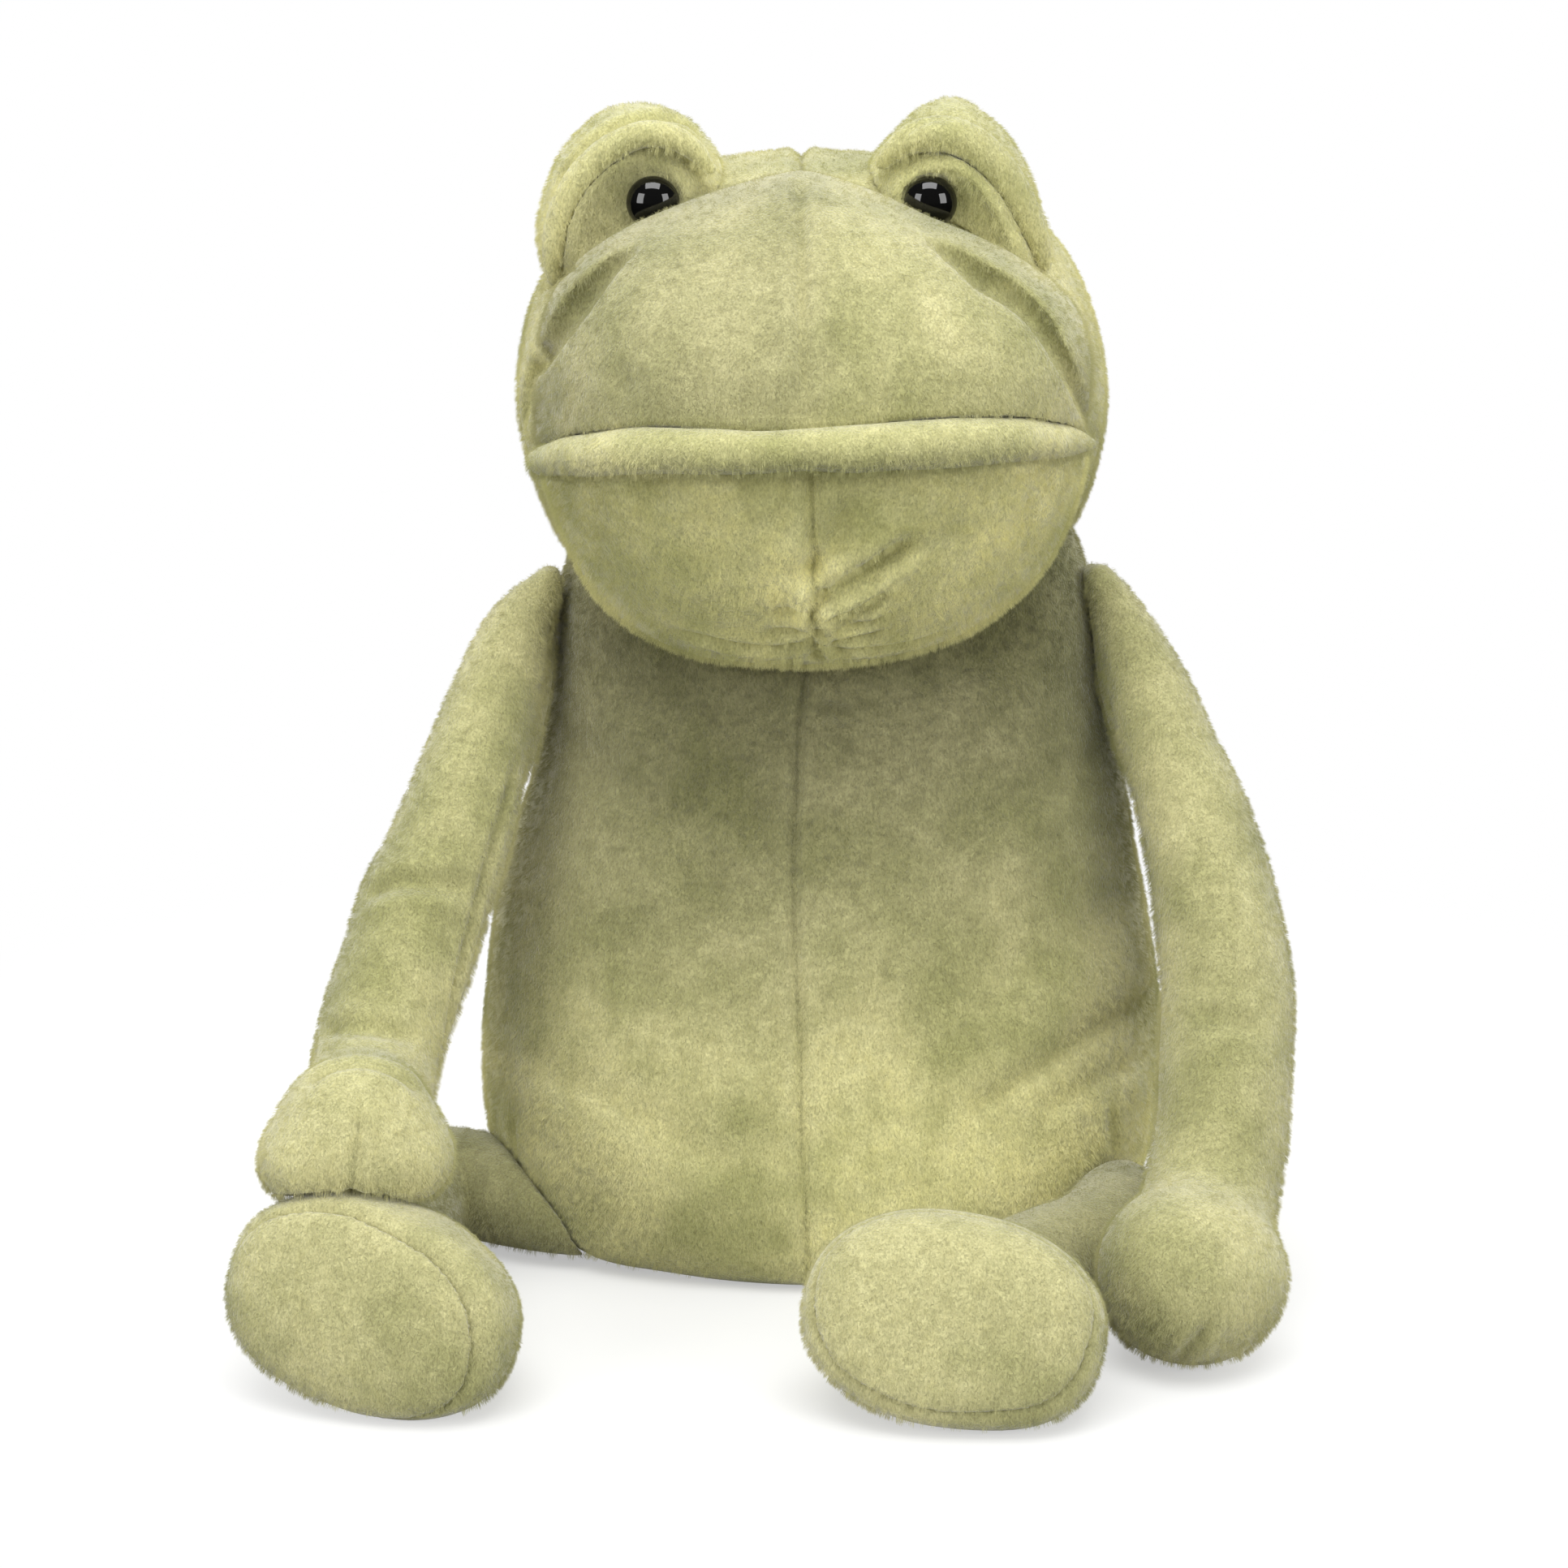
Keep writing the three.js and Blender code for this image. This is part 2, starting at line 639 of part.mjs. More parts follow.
function legPieces(side, leg) {
  const place = footPlace(side, leg);
  const ankle = new THREE.Vector3(0, 0, -footDepth * 0.8).applyMatrix4(place);
  const points = leg.routeShares.map(([out, forward]) => legPoint(side, leg, out, forward, hipHeight));
  const radii = leg.routeShares.map((row) => legRadius * row[2]);
  points.push(ankle);
  radii.push(legRadius * 0.8);
  const torsoSpace = sweep(torsoRings(jointGap), hip(side, leg), X, legDropAngle, 5);
  const foot = loft(stuffed(footShares, footForm), place).subtract(below(0));
  const sole = loft(stuffed(soleShares, soleForm), place).subtract(below(0));
  const limb = loft(tube(points, radii, { sides: 12, steps: 1, side: Z }))
    .subtract(torsoSpace)
    .subtract(loft(stuffed(footShares, footForm, panelGap), place))
    .subtract(below(0));
  return { limb, foot, sole };
}

// Finish of each piece
const plush = new THREE.MeshStandardMaterial({ color: 0xa9b27d, roughness: 0.95, metalness: 0 });
const beanCloth = new THREE.MeshStandardMaterial({ color: 0xe6e2d6, roughness: 0.9, metalness: 0 });
const eyePlastic = new THREE.MeshStandardMaterial({ color: 0x0a0a0b, roughness: 0.08, metalness: 0 });
const washerPlastic = new THREE.MeshStandardMaterial({ color: 0xdcdcd8, roughness: 0.5, metalness: 0 });

const frog = new THREE.Group();
function addPiece(name, solid, material) {
  const { numProp, vertProperties, triVerts } = solid.getMesh();
  const geometry = new THREE.BufferGeometry();
  geometry.setAttribute('position', new THREE.BufferAttribute(new Float32Array(vertProperties), numProp));
  geometry.setIndex(new THREE.BufferAttribute(new Uint32Array(triVerts), 1));
  geometry.computeVertexNormals();
  const mesh = new THREE.Mesh(geometry, material);
  mesh.name = name;
  frog.add(mesh);
}

addPiece('torso', torso, plush);
addPiece('base_panel', basePanel, plush);
addPiece('bean_bag', beanBag, beanCloth);
addPiece('head', head, plush);
addPiece('muzzle', muzzle, plush);
addPiece('jaw', jaw, plush);
addPiece('mouth_roll', mouthRoll, plush);

const limbs = [
  { side: -1, end: 'right', arm: rightArmShares, hand: rightHandShares, leg: rightLeg },
  { side: 1, end: 'left', arm: leftArmShares, hand: leftHandShares, leg: leftLeg },
];
for (const { side, end, arm, hand, leg } of limbs) {
  addPiece(`eye_dome_${end}`, eyeDomes[side], plush);
  addPiece(`eye_hood_${end}`, eyeHoods[side], plush);
  addPiece(`eye_${end}`, eyeSolid(side), eyePlastic);
  addPiece(`eye_washer_${end}`, washerSolid(side), washerPlastic);
  const footRoom = loft(stuffed(footShares, footForm, jointGap), footPlace(side, leg))
    .add(loft(stuffed(soleShares, soleForm, jointGap), footPlace(side, leg)));
  addPiece(`arm_${end}`, armSolid(side, arm, hand, footRoom), plush);
  const { limb, foot, sole } = legPieces(side, leg);
  addPiece(`leg_${end}`, limb, plush);
  addPiece(`foot_${end}`, foot, plush);
  addPiece(`sole_${end}`, sole, plush);
}

export default frog;
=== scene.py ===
import json
import math

import bpy
import numpy as np
from mathutils import Matrix, Vector
from mathutils.bvhtree import BVHTree

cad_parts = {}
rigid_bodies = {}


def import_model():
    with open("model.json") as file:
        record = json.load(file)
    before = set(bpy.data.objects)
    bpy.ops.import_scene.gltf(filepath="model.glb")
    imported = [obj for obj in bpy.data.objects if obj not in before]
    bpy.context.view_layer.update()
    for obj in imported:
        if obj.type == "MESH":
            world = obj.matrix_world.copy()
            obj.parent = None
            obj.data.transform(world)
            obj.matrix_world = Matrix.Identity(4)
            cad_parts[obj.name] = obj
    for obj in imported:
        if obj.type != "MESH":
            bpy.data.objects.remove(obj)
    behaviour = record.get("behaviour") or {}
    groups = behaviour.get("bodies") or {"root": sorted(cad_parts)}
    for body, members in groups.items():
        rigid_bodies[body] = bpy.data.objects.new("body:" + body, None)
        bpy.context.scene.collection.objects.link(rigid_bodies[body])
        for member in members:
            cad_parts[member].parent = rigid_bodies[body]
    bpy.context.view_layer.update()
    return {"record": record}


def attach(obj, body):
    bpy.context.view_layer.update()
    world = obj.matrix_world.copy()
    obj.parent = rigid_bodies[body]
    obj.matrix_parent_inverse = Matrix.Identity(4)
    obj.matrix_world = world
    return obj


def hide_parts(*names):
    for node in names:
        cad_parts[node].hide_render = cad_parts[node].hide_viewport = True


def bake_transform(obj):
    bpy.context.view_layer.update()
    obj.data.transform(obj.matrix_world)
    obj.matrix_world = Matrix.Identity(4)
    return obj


for thing in list(bpy.data.objects):
    bpy.data.objects.remove(thing)
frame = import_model()
MM = 0.001

# Camera: its place in millimetres, its tilt, its lens, and the picture's focal length and middle in pixels
EYE = np.array([-7.5, -1153.5, 434.8])
TILT = math.radians(74)
LENS, SENSOR = 116.27, 36
FOCAL, MID = 6240.0, 966.0

camera_data = bpy.data.cameras.new("camera")
camera_data.lens = LENS
camera_data.sensor_width = SENSOR
camera = bpy.data.objects.new("camera", camera_data)
camera.location = EYE * MM
camera.rotation_euler = (TILT, 0, 0)
bpy.context.scene.collection.objects.link(camera)
bpy.context.scene.camera = camera


def sight(px, py):
    """The direction in which the camera sees a point of the picture."""
    across, up = (px - MID) / FOCAL, (MID - py) / FOCAL
    seen = np.array([
        across,
        math.cos(TILT) * up + math.sin(TILT),
        math.sin(TILT) * up - math.cos(TILT),
    ])
    return seen / np.linalg.norm(seen)


# Forms
STEP = 1.0
THIN = 0.3  # least half width of an oval
BEYOND = 30  # how far from a surface distances are kept
CAP = 1.5  # how far the top of a stack of ovals may bulge past its last row
REPEAT, SHIFT = 24, 400  # after how many lumps they repeat, and a shift that keeps their places positive


def curve(rows, per=8):
    """A smooth run of rows through the given ones. The first three columns set the spacing."""
    rows = np.array(rows, float)
    gap = np.maximum(np.linalg.norm(np.diff(rows[:, :3], axis=0), axis=1), 1e-3)
    slope = np.diff(rows, axis=0) / gap[:, None]
    tangent = np.empty_like(rows)
    tangent[0], tangent[-1] = slope[0], slope[-1]
    before, after = gap[:-1, None], gap[1:, None]
    tangent[1:-1] = (slope[:-1] * after + slope[1:] * before) / (before + after)
    out = []
    for i, length in enumerate(gap):
        for u in np.arange(per) / per:
            a = 2 * u**3 - 3 * u**2 + 1
            b = u**3 - 2 * u**2 + u
            c = 3 * u**2 - 2 * u**3
            d = u**3 - u**2
            out.append(
                a * rows[i] + b * length * tangent[i] + c * rows[i + 1] + d * length * tangent[i + 1]
            )
    out.append(rows[-1])
    return np.array(out)


class Grid:
    """A block of space in millimetres in which forms are drawn as distances, negative inside."""

    def __init__(self, low, high, step=STEP):
        self.low, self.step = np.array(low, float), step
        spans = [np.arange(a, b + step, step) for a, b in zip(low, high)]
        self.at = np.stack(np.meshgrid(*spans, indexing="ij")).astype(np.float32)

    def true(self, field):
        """Scales a form's values to distances near its surface."""
        gx, gy, gz = np.gradient(field, self.step)
        size = np.sqrt(gx * gx + gy * gy + gz * gz)
        return np.clip(field / np.maximum(size, 1e-3), -BEYOND, BEYOND)


def spin(degrees, axis):
    return Matrix.Rotation(math.radians(degrees), 3, axis)


def nodded(at, degrees):
    """The points of a grid, turned back about the nape, so that the form drawn there nods forward."""
    turn, pivot = np.array(spin(-degrees, "X"), np.float32), np.array(NAPE, np.float32)[:, None]
    return (turn @ (at.reshape(3, -1) - pivot) + pivot).reshape(at.shape)


def stack(grid, rows, middle=0.0, grow=0.0, at=None, closed=True):
    """A stuffed form from level ovals: rows of height, left, right, front, back and squareness.

    Where it isn't closed, it goes on below its first row.
    """
    x, y, z = grid.at if at is None else at
    rows = curve(rows)
    rows[:, 1:5] += np.array([-grow, grow, -grow, grow])
    rows = rows[np.argsort(rows[:, 0])]
    high = rows[:, 0]
    centre = (rows[:, 1] + rows[:, 2]) / 2
    wide = np.maximum((rows[:, 2] - rows[:, 1]) / 2, THIN)
    front = np.maximum(middle - rows[:, 3], THIN)
    back = np.maximum(rows[:, 4] - middle, THIN)
    area = wide * (front + back) / 2
    first = (area[6] - area[0]) / max(high[6] - high[0], 1e-3)
    last = (area[-1] - area[-7]) / max(high[-1] - high[-7], 1e-3)
    level = np.interp(z, high, area)
    level = np.where(z < high[0], area[0] + (z - high[0]) * first, level)
    level = np.where(z > high[-1] + grow, area[-1] + (z - high[-1] - grow) * last, level)
    root = np.sqrt(area)
    across = np.abs(x - np.interp(z, high, centre)) * np.interp(z, high, root / wide)
    along = np.where(
        y < middle,
        (middle - y) * np.interp(z, high, root / front),
        (y - middle) * np.interp(z, high, root / back),
    )
    power = np.interp(z, high, rows[:, 5])
    ring = (across**power + along**power + 1e-9) ** (2 / power)
    form = grid.true(ring - level)
    if closed:
        form = np.maximum(form, high[0] - grow - z)
    return np.maximum(form, z - high[-1] - grow - CAP)


def tube(grid, rows, grow=0.0, per=8):
    """A round limb through rows of x, y, z and radius."""
    x, y, z = grid.at
    out = np.full(x.shape, 60.0, np.float32)
    rows = curve(rows, per).astype(np.float32)
    for (ax, ay, az, ar), (bx, by, bz, br) in zip(rows[:-1], rows[1:]):
        dx, dy, dz = bx - ax, by - ay, bz - az
        length = max(dx * dx + dy * dy + dz * dz, 1e-6)
        t = np.clip(((x - ax) * dx + (y - ay) * dy + (z - az) * dz) / length, 0, 1)
        away = np.sqrt((x - ax - t * dx) ** 2 + (y - ay - t * dy) ** 2 + (z - az - t * dz) ** 2)
        out = np.minimum(out, away - (ar + t * (br - ar)) - grow)
    return out


def ball(grid, centre, sizes):
    """An oval ball."""
    ring = sum(((at - middle) / size) ** 2 for at, middle, size in zip(grid.at, centre, sizes)) ** 0.5
    return grid.true(ring - 1)


# Uneven stuffing: the size of its lumps, their height and the seed
STUFFING = {
    "torso": (34.0, 1.7, 1), "belly": (14.0, 0.5, 2), "head": (23.0, 0.7, 11), "muzzle": (24.0, 0.8, 3),
    "jaw": (22.0, 0.8, 4), "mouth_roll": (9.0, 0.35, 10), "eye_dome": (13.0, 0.4, 9), "arm": (19.0, 0.9, 5),
    "leg": (18.0, 0.8, 6), "foot": (15.0, 0.6, 7),
}


def lumps(at, name):
    """The uneven stuffing of a part: smooth random rises and hollows."""
    size, height, seed = STUFFING[name]
    table = np.random.default_rng(seed).uniform(-1, 1, [REPEAT] * 3).astype(np.float32)
    place = (np.asarray(at, np.float32) + SHIFT) / np.float32(size)
    whole = np.floor(place)
    part = place - whole
    part = part * part * (3 - 2 * part)
    i, j, k = whole.astype(np.int32) % REPEAT
    u, v, w = part
    out = 0
    for di, dj, dk in np.ndindex(2, 2, 2):
        weight = (u if di else 1 - u) * (v if dj else 1 - v) * (w if dk else 1 - w)
        out = out + weight * table[(i + di) % REPEAT, (j + dj) % REPEAT, (k + dk) % REPEAT]
    return out * height


def fused(a, b, soft):
    """Both forms, with the valley between them filled over the given width."""
    if soft <= 0:
        return np.minimum(a, b)
    h = np.clip(0.5 + 0.5 * (b - a) / soft, 0, 1)
    return b + (a - b) * h - soft * h * (1 - h)


def cut(a, b, soft=0.0):
    """The first form without the second, with the new edge rounded over the given width."""
    return -fused(-a, b, soft)


def gathered(index, values, count):
    """For each number below the count, the sum of the rows of values with that index."""
    return np.stack([np.bincount(index, column, count) for column in values.T], 1)


def skin(grid, field, relax=2):
    """The surface of a form as points and four-sided faces."""
    field = np.pad(field, 1, constant_values=5.0)
    low = grid.low - grid.step
    inside = field < 0
    cells = np.array(field.shape) - 1
    total = int(np.prod(cells))
    sums = np.zeros((total, 3))
    count = np.zeros(total)
    quads = []
    for axis in range(3):
        u, v = (axis + 1) % 3, (axis + 2) % 3
        here = [slice(None)] * 3
        there = [slice(None)] * 3
        here[axis], there[axis] = slice(0, -1), slice(1, None)
        here, there = tuple(here), tuple(there)
        where = np.argwhere(inside[here] != inside[there])
        a = field[here][tuple(where.T)]
        b = field[there][tuple(where.T)]
        point = where.astype(float)
        point[:, axis] += a / (a - b)
        corners = []
        for du, dv in ((0, 0), (-1, 0), (-1, -1), (0, -1)):
            cell = where.copy()
            cell[:, u] += du
            cell[:, v] += dv
            index = (cell[:, 0] * cells[1] + cell[:, 1]) * cells[2] + cell[:, 2]
            corners.append(index)
            sums += gathered(index, point, total)
            count += np.bincount(index, minlength=total)
        quad = np.stack(corners, 1)
        flip = a > 0
        quad[flip] = quad[flip][:, ::-1]
        quads.append(quad)
    quads = np.concatenate(quads)
    used = np.flatnonzero(count)
    number = np.full(total, -1)
    number[used] = np.arange(len(used))
    points = sums[used] / count[used][:, None] * grid.step + low
    faces = number[quads]
    for _ in range(relax):
        total_of = np.zeros_like(points)
        links = np.zeros(len(points))
        for i in range(4):
            a, b = faces[:, i], faces[:, (i + 1) % 4]
            for p, q in ((a, b), (b, a)):
                total_of += gathered(p, points[q], len(points))
                links += np.bincount(p, minlength=len(points))
        points = points * 0.5 + total_of / links[:, None] * 0.5
    return points, faces


def largest(points, faces):
    """The biggest connected part of a skin."""
    label = np.arange(len(points))
    while True:
        low = label[faces].min(1)
        new = label.copy()
        for i in range(4):
            np.minimum.at(new, faces[:, i], low)
        new = new[new]
        if (new == label).all():
            break
        label = new
    size = np.bincount(label[faces[:, 0]], minlength=len(points))
    keep = label == size.argmax()
    faces = faces[keep[faces[:, 0]]]
    number = np.cumsum(keep) - 1
    return points[keep], number[faces]


def smoothstep(value):
    value = np.clip(value, 0, 1)
    return value * value * (3 - 2 * value)


PIXELS_APART = 5.0  # the steps in which a line drawn on the picture is laid on a piece


class Soft:
    """A plush piece while it is being shaped. Sizes in millimetres."""

    def __init__(self, points, faces):
        self.points, self.faces = points, faces
        self.seam = np.full(len(points), 9.0)
        self.fresh()

    def fresh(self):
        """Works out the normals again after the points have moved."""
        a, b, c, d = (self.points[self.faces[:, i]] for i in range(4))
        face_normal = np.cross(c - a, d - b)
        normal = np.zeros_like(self.points)
        for i in range(4):
            normal += gathered(self.faces[:, i], face_normal, len(self.points))
        self.normal = normal / np.maximum(np.linalg.norm(normal, axis=1), 1e-9)[:, None]
        self.tree = None

    def met(self, start, way, reach=1e6):
        """Where a ray first meets this piece, or None."""
        if self.tree is None:
            self.tree = BVHTree.FromPolygons(self.points.tolist(), self.faces.tolist())
        return self.tree.ray_cast(Vector(start), Vector(way), reach)[0]

    def traced(self, pixels):
        """A line drawn on the picture, laid on this piece."""
        dots = np.array(pixels, float)
        if len(dots) > 2:
            dots = curve(np.column_stack([dots, np.zeros(len(dots))]))[:, :2]
        out = []
        for (ax, ay), (bx, by) in zip(dots[:-1], dots[1:]):
            steps = max(1, int(math.hypot(bx - ax, by - ay) / PIXELS_APART))
            out += [(ax + (bx - ax) * i / steps, ay + (by - ay) * i / steps) for i in range(steps)]
        out.append(tuple(dots[-1]))
        hits = [self.met(EYE, sight(px, py)) for px, py in out]
        return np.array([list(hit) for hit in hits if hit is not None])

    def ringed(self, x, centre, start, end):
        """A line over this piece in the plane at x, met from outside at angles round a centre."""
        middle = Vector((x, *centre))
        hits = []
        for angle in np.radians(np.linspace(start, end, 90)):
            away = Vector((0, math.cos(angle), math.sin(angle)))
            hits.append(self.met(middle + away * 300, -away))
        return np.array([list(hit) for hit in hits if hit is not None])

    @staticmethod
    def over(forms, pixels):
        """A line drawn on the picture, laid on whichever of several pieces is in front."""
        points = np.concatenate([form.points for form in forms])
        start = np.cumsum([0] + [len(form.points) for form in forms[:-1]])
        faces = np.concatenate([form.faces + first for form, first in zip(forms, start)])
        return Soft(points, faces).traced(pixels)

    def near(self, line, reach):
        """For the points within reach of a line: which, how far, how far along it and on which side."""
        low, high = line.min(0) - reach, line.max(0) + reach
        which = np.flatnonzero(((self.points >= low) & (self.points <= high)).all(1))
        spots = self.points[which]
        best = np.full(len(which), 1e9)
        along = np.zeros(len(which))
        side = np.zeros(len(which))
        gone = 0.0
        for a, b in zip(line[:-1], line[1:]):
            step = b - a
            length = np.linalg.norm(step)
            if length < 1e-6:
                continue
            t = np.clip((spots - a) @ step / length**2, 0, 1)
            off = spots - a - t[:, None] * step
            away = np.linalg.norm(off, axis=1)
            closer = away < best
            best[closer] = away[closer]
            along[closer] = gone + t[closer] * length
            cross = np.cross(step / length, self.normal[which[closer]])
            side[closer] = np.sign((cross * off[closer]).sum(1))
            gone += length
        keep = best < reach
        return which[keep], best[keep], along[keep], side[keep], gone

    def groove(self, line, depth, width, lip=0.3, fade=5.0, seam=False, ends=(True, True)):
        """A line sunk into the stuffing, with the cloth a little proud on both sides."""
        if len(line) < 2:
            return
        which, away, along, _, whole = self.near(line, max(width * 5, 6.0))
        hold = np.ones(len(which))
        if ends[0]:
            hold *= smoothstep(along / fade)
        if ends[1]:
            hold *= smoothstep((whole - along) / fade)
        dip = -depth * np.exp(-((away / width) ** 2))
        rise = depth * lip * np.exp(-(((away - 2.2 * width) / width) ** 2))
        self.points[which] += self.normal[which] * ((dip + rise) * hold)[:, None]
        if seam:
            self.seam[which] = np.minimum(self.seam[which], away + 4 * (1 - hold))

    def fold(self, line, depth, width, bulge, reach, toward=1, fade=9.0):
        """A crease with the cloth swelling over it on one side."""
        if len(line) < 2:
            return
        which, away, along, side, whole = self.near(line, reach * 3)
        hold = smoothstep(along / fade) * smoothstep((whole - along) / fade)
        dip = -depth * np.exp(-((away / width) ** 2))
        t = away / reach
        swell = bulge * t * np.exp(1 - t) * smoothstep((3 - t) / 1.5)
        swell *= np.where(side * toward > 0, 1.0, -0.25)
        self.points[which] += self.normal[which] * ((dip + swell) * hold)[:, None]

    def level(self):
        """Keeps the piece above the surface that it rests on."""
        self.points[:, 2] = np.maximum(self.points[:, 2], 0.0)


def soft(grid, field, relax=2):
    return Soft(*largest(*skin(grid, field, relax)))


# The body: level ovals from the base to the neck
TORSO = [
    [0, -62, 65, -60, 52, 2.3],
    [3.3, -69.5, 72.5, -63, 54, 2.35],
    [8.2, -74, 77, -65, 56, 2.4],
    [18.2, -77.6, 80.8, -66, 57.5, 2.4],
    [36.4, -79.6, 82.4, -65.6, 58, 2.4],
    [60, -78, 81.2, -62.8, 56.2, 2.35],
    [85.5, -73.4, 77.2, -57.6, 53.4, 2.3],
    [109, -66.8, 72.5, -51.4, 50, 2.3],
    [132.9, -61.8, 67.6, -45, 46.4, 2.3],
    [152.9, -60, 64.2, -38.4, 43.4, 2.3],
    [169, -53.5, 56.8, -31.6, 38.2, 2.2],
    [179, -33, 35.5, -19.8, 24.4, 2.1],
    [182, -4, 6.5, -3.4, 3.4, 2],
]
PANEL = [[-1, -57, 60, -50.5, 42.5, 2.3], [1.8, -57, 60, -50.5, 42.5, 2.3]]
BAG = [
    [2.1, -47, 50, -41.5, 34.5, 2.2],
    [6, -52, 55, -46, 38, 2.2],
    [16.5, -54.6, 57.6, -48.2, 40.2, 2.2],
    [29, -50.6, 53.6, -44.6, 37.2, 2.2],
    [38, -37, 40, -33, 27, 2.1],
    [43.4, -4, 7, -4, 3, 2],
]
NAPE = (0, 37.8, 160.27)
HEAD = [
    [149.97, -45.2, 43.2, -25.8, 33.5, 2.1],
    [158.2, -54, 51.9, -35.8, 42.1, 2.2],
    [170.6, -62.3, 60.6, -46, 49.7, 2.2],
    [187, -67.2, 65.4, -54.3, 54, 2.2],
    [203.5, -68.4, 66.2, -56, 54, 2.2],
    [219, -65.6, 63, -52.1, 51.8, 2.2],
    [232.4, -58.6, 56.3, -43.1, 46.4, 2.2],
    [243.7, -45.6, 43.6, -31.9, 36.7, 2.15],
    [250.5, -28, 26, -19, 22.7, 2.1],
    [253.6, -4.5, 3.5, -3, 3.2, 2],
]
MUZZLE_BACK = -36.1
MUZZLE = [
    [184, -63, 61, -86, -10.3, 2.3],
    [205.6, -63, 61, -86, -10.3, 2.3],
    [216.3, -62.4, 60.6, -84.2, -10.3, 2.3],
    [226, -60, 56.6, -79.8, -10.3, 2.25],
    [233.6, -55, 48.4, -74.5, -11.6, 2.2],
    [241.3, -45.4, 37, -67.3, -14.2, 2.15],
    [247.9, -31.4, 21, -59.1, -18.1, 2.1],
    [252.9, -17.6, 7.6, -50.1, -23.2, 2],
    [255.9, -6, -1.6, -39, -33, 2],
]
JAW_BACK = -20.2
JAW = [
    [146.4, -23, 21, -48.2, -11.2, 2.1],
    [148.6, -38, 31, -55.5, -7, 2.2],
    [152.5, -45.5, 39.5, -61, -4, 2.25],
    [158.5, -51.5, 47, -67, 0, 2.25],
    [166.9, -56.4, 54, -73.2, 4, 2.25],
    [178.5, -60.6, 58.6, -79, 7, 2.25],
    [188.9, -63, 61.2, -82.4, 9.4, 2.3],
    [198.8, -63.6, 61.6, -84, 10, 2.3],
    [213, -63.6, 61.6, -84, 10, 2.3],
]
LIP = [
    [-62.6, -48, 192.4, 2.4],
    [-60.6, -52, 193.6, 3.3],
    [-57, -58.4, 195.6, 4.1],
    [-51.8, -66.2, 198, 4.7],
    [-43, -75.5, 200.7, 4.9],
    [-34.2, -81, 202.3, 5.1],
    [-22.5, -85.5, 202.9, 4.9],
    [-12.9, -87.5, 203.3, 4.6],
    [-1.9, -88.5, 204.1, 4.6],
    [8.2, -88, 204.1, 5.2],
    [21, -84.5, 204.3, 5.4],
    [31.8, -79.5, 203.7, 5.4],
    [42.7, -72, 202.7, 5],
    [52, -61.5, 200.2, 4.1],
    [57.1, -53, 198, 3],
    [60.9, -45, 195.9, 1.7],
]

# Outlines of the eye domes seen from the front, round their middles
DOMES = {
    "right": {
        "middle": (-42, -12, 245),
        "outline": [
            (-21, 248), (-23.6, 256.6), (-27, 261), (-31.6, 264.4), (-36.3, 266.4), (-41.8, 266.9),
            (-48, 265.6), (-52.6, 262.2), (-57.2, 257.4), (-60.9, 249.9), (-62.8, 243.2), (-63.2, 236.5),
            (-60, 228), (-50, 223), (-36, 225), (-25, 233), (-21, 241),
        ],
        "dish": [
            (-24, 250), (-25.4, 256.4), (-29.6, 260), (-35.5, 261.6), (-41.5, 259.8), (-47.6, 255.8),
            (-52.6, 250), (-56.4, 242.4), (-57.6, 233.6), (-54, 226), (-44, 224), (-32, 228),
            (-25, 236), (-23.6, 244),
        ],
        "hood": [
            (-59.6, -25, 229.5, 1.5), (-59.4, -26.5, 236.5, 2.6), (-58, -27.6, 243.6, 3),
            (-54.9, -28.6, 250.4, 3.1), (-50.2, -29.4, 256.4, 3.1), (-44.4, -30, 260.9, 3.1),
            (-38.1, -30.2, 263.2, 3.1), (-32.4, -29.8, 262.4, 2.9), (-27.4, -29, 259.3, 2.4),
            (-24, -28, 255, 1.5),
        ],
        "eye": -36.8,
    },
    "left": {
        "middle": (31, -12, 244),
        "outline": [
            (10.4, 246), (12.4, 254.6), (15.9, 259), (19.7, 262.9), (24.6, 266.5), (30.1, 268.2),
            (33.5, 267.4), (37.8, 264.4), (42.4, 260.3), (45.8, 255.5), (48.2, 250.8), (50, 245.2),
            (51.8, 239), (53.6, 231), (50, 223), (38, 220), (24, 223), (14, 231),
            (10.4, 239),
        ],
        "dish": [
            (14, 249), (15.6, 254.2), (20, 257.4), (25.4, 258.2), (30.4, 256.8), (34.8, 253.8),
            (38.6, 249.8), (41.8, 245), (45, 239), (46, 232), (42, 225), (32, 222),
            (22, 226), (15.6, 234), (13.6, 242),
        ],
        "hood": [
            (14.6, -25, 256, 1.8), (18.6, -27, 260.2, 3), (24.6, -28.4, 262.8, 3.9),
            (31, -28.8, 262.4, 4.2), (36.4, -28.6, 259.3, 4.2), (40.6, -28.2, 255, 4),
            (44, -27.6, 250.2, 3.7), (47, -26.8, 244.6, 3.3), (49.6, -25.8, 238.6, 2.7),
            (51.4, -24.6, 232.8, 1.6),
        ],
        "eye": 25.2,
    },
}
EYE_BACK = -29.1
EYE_HIGH = 247.8


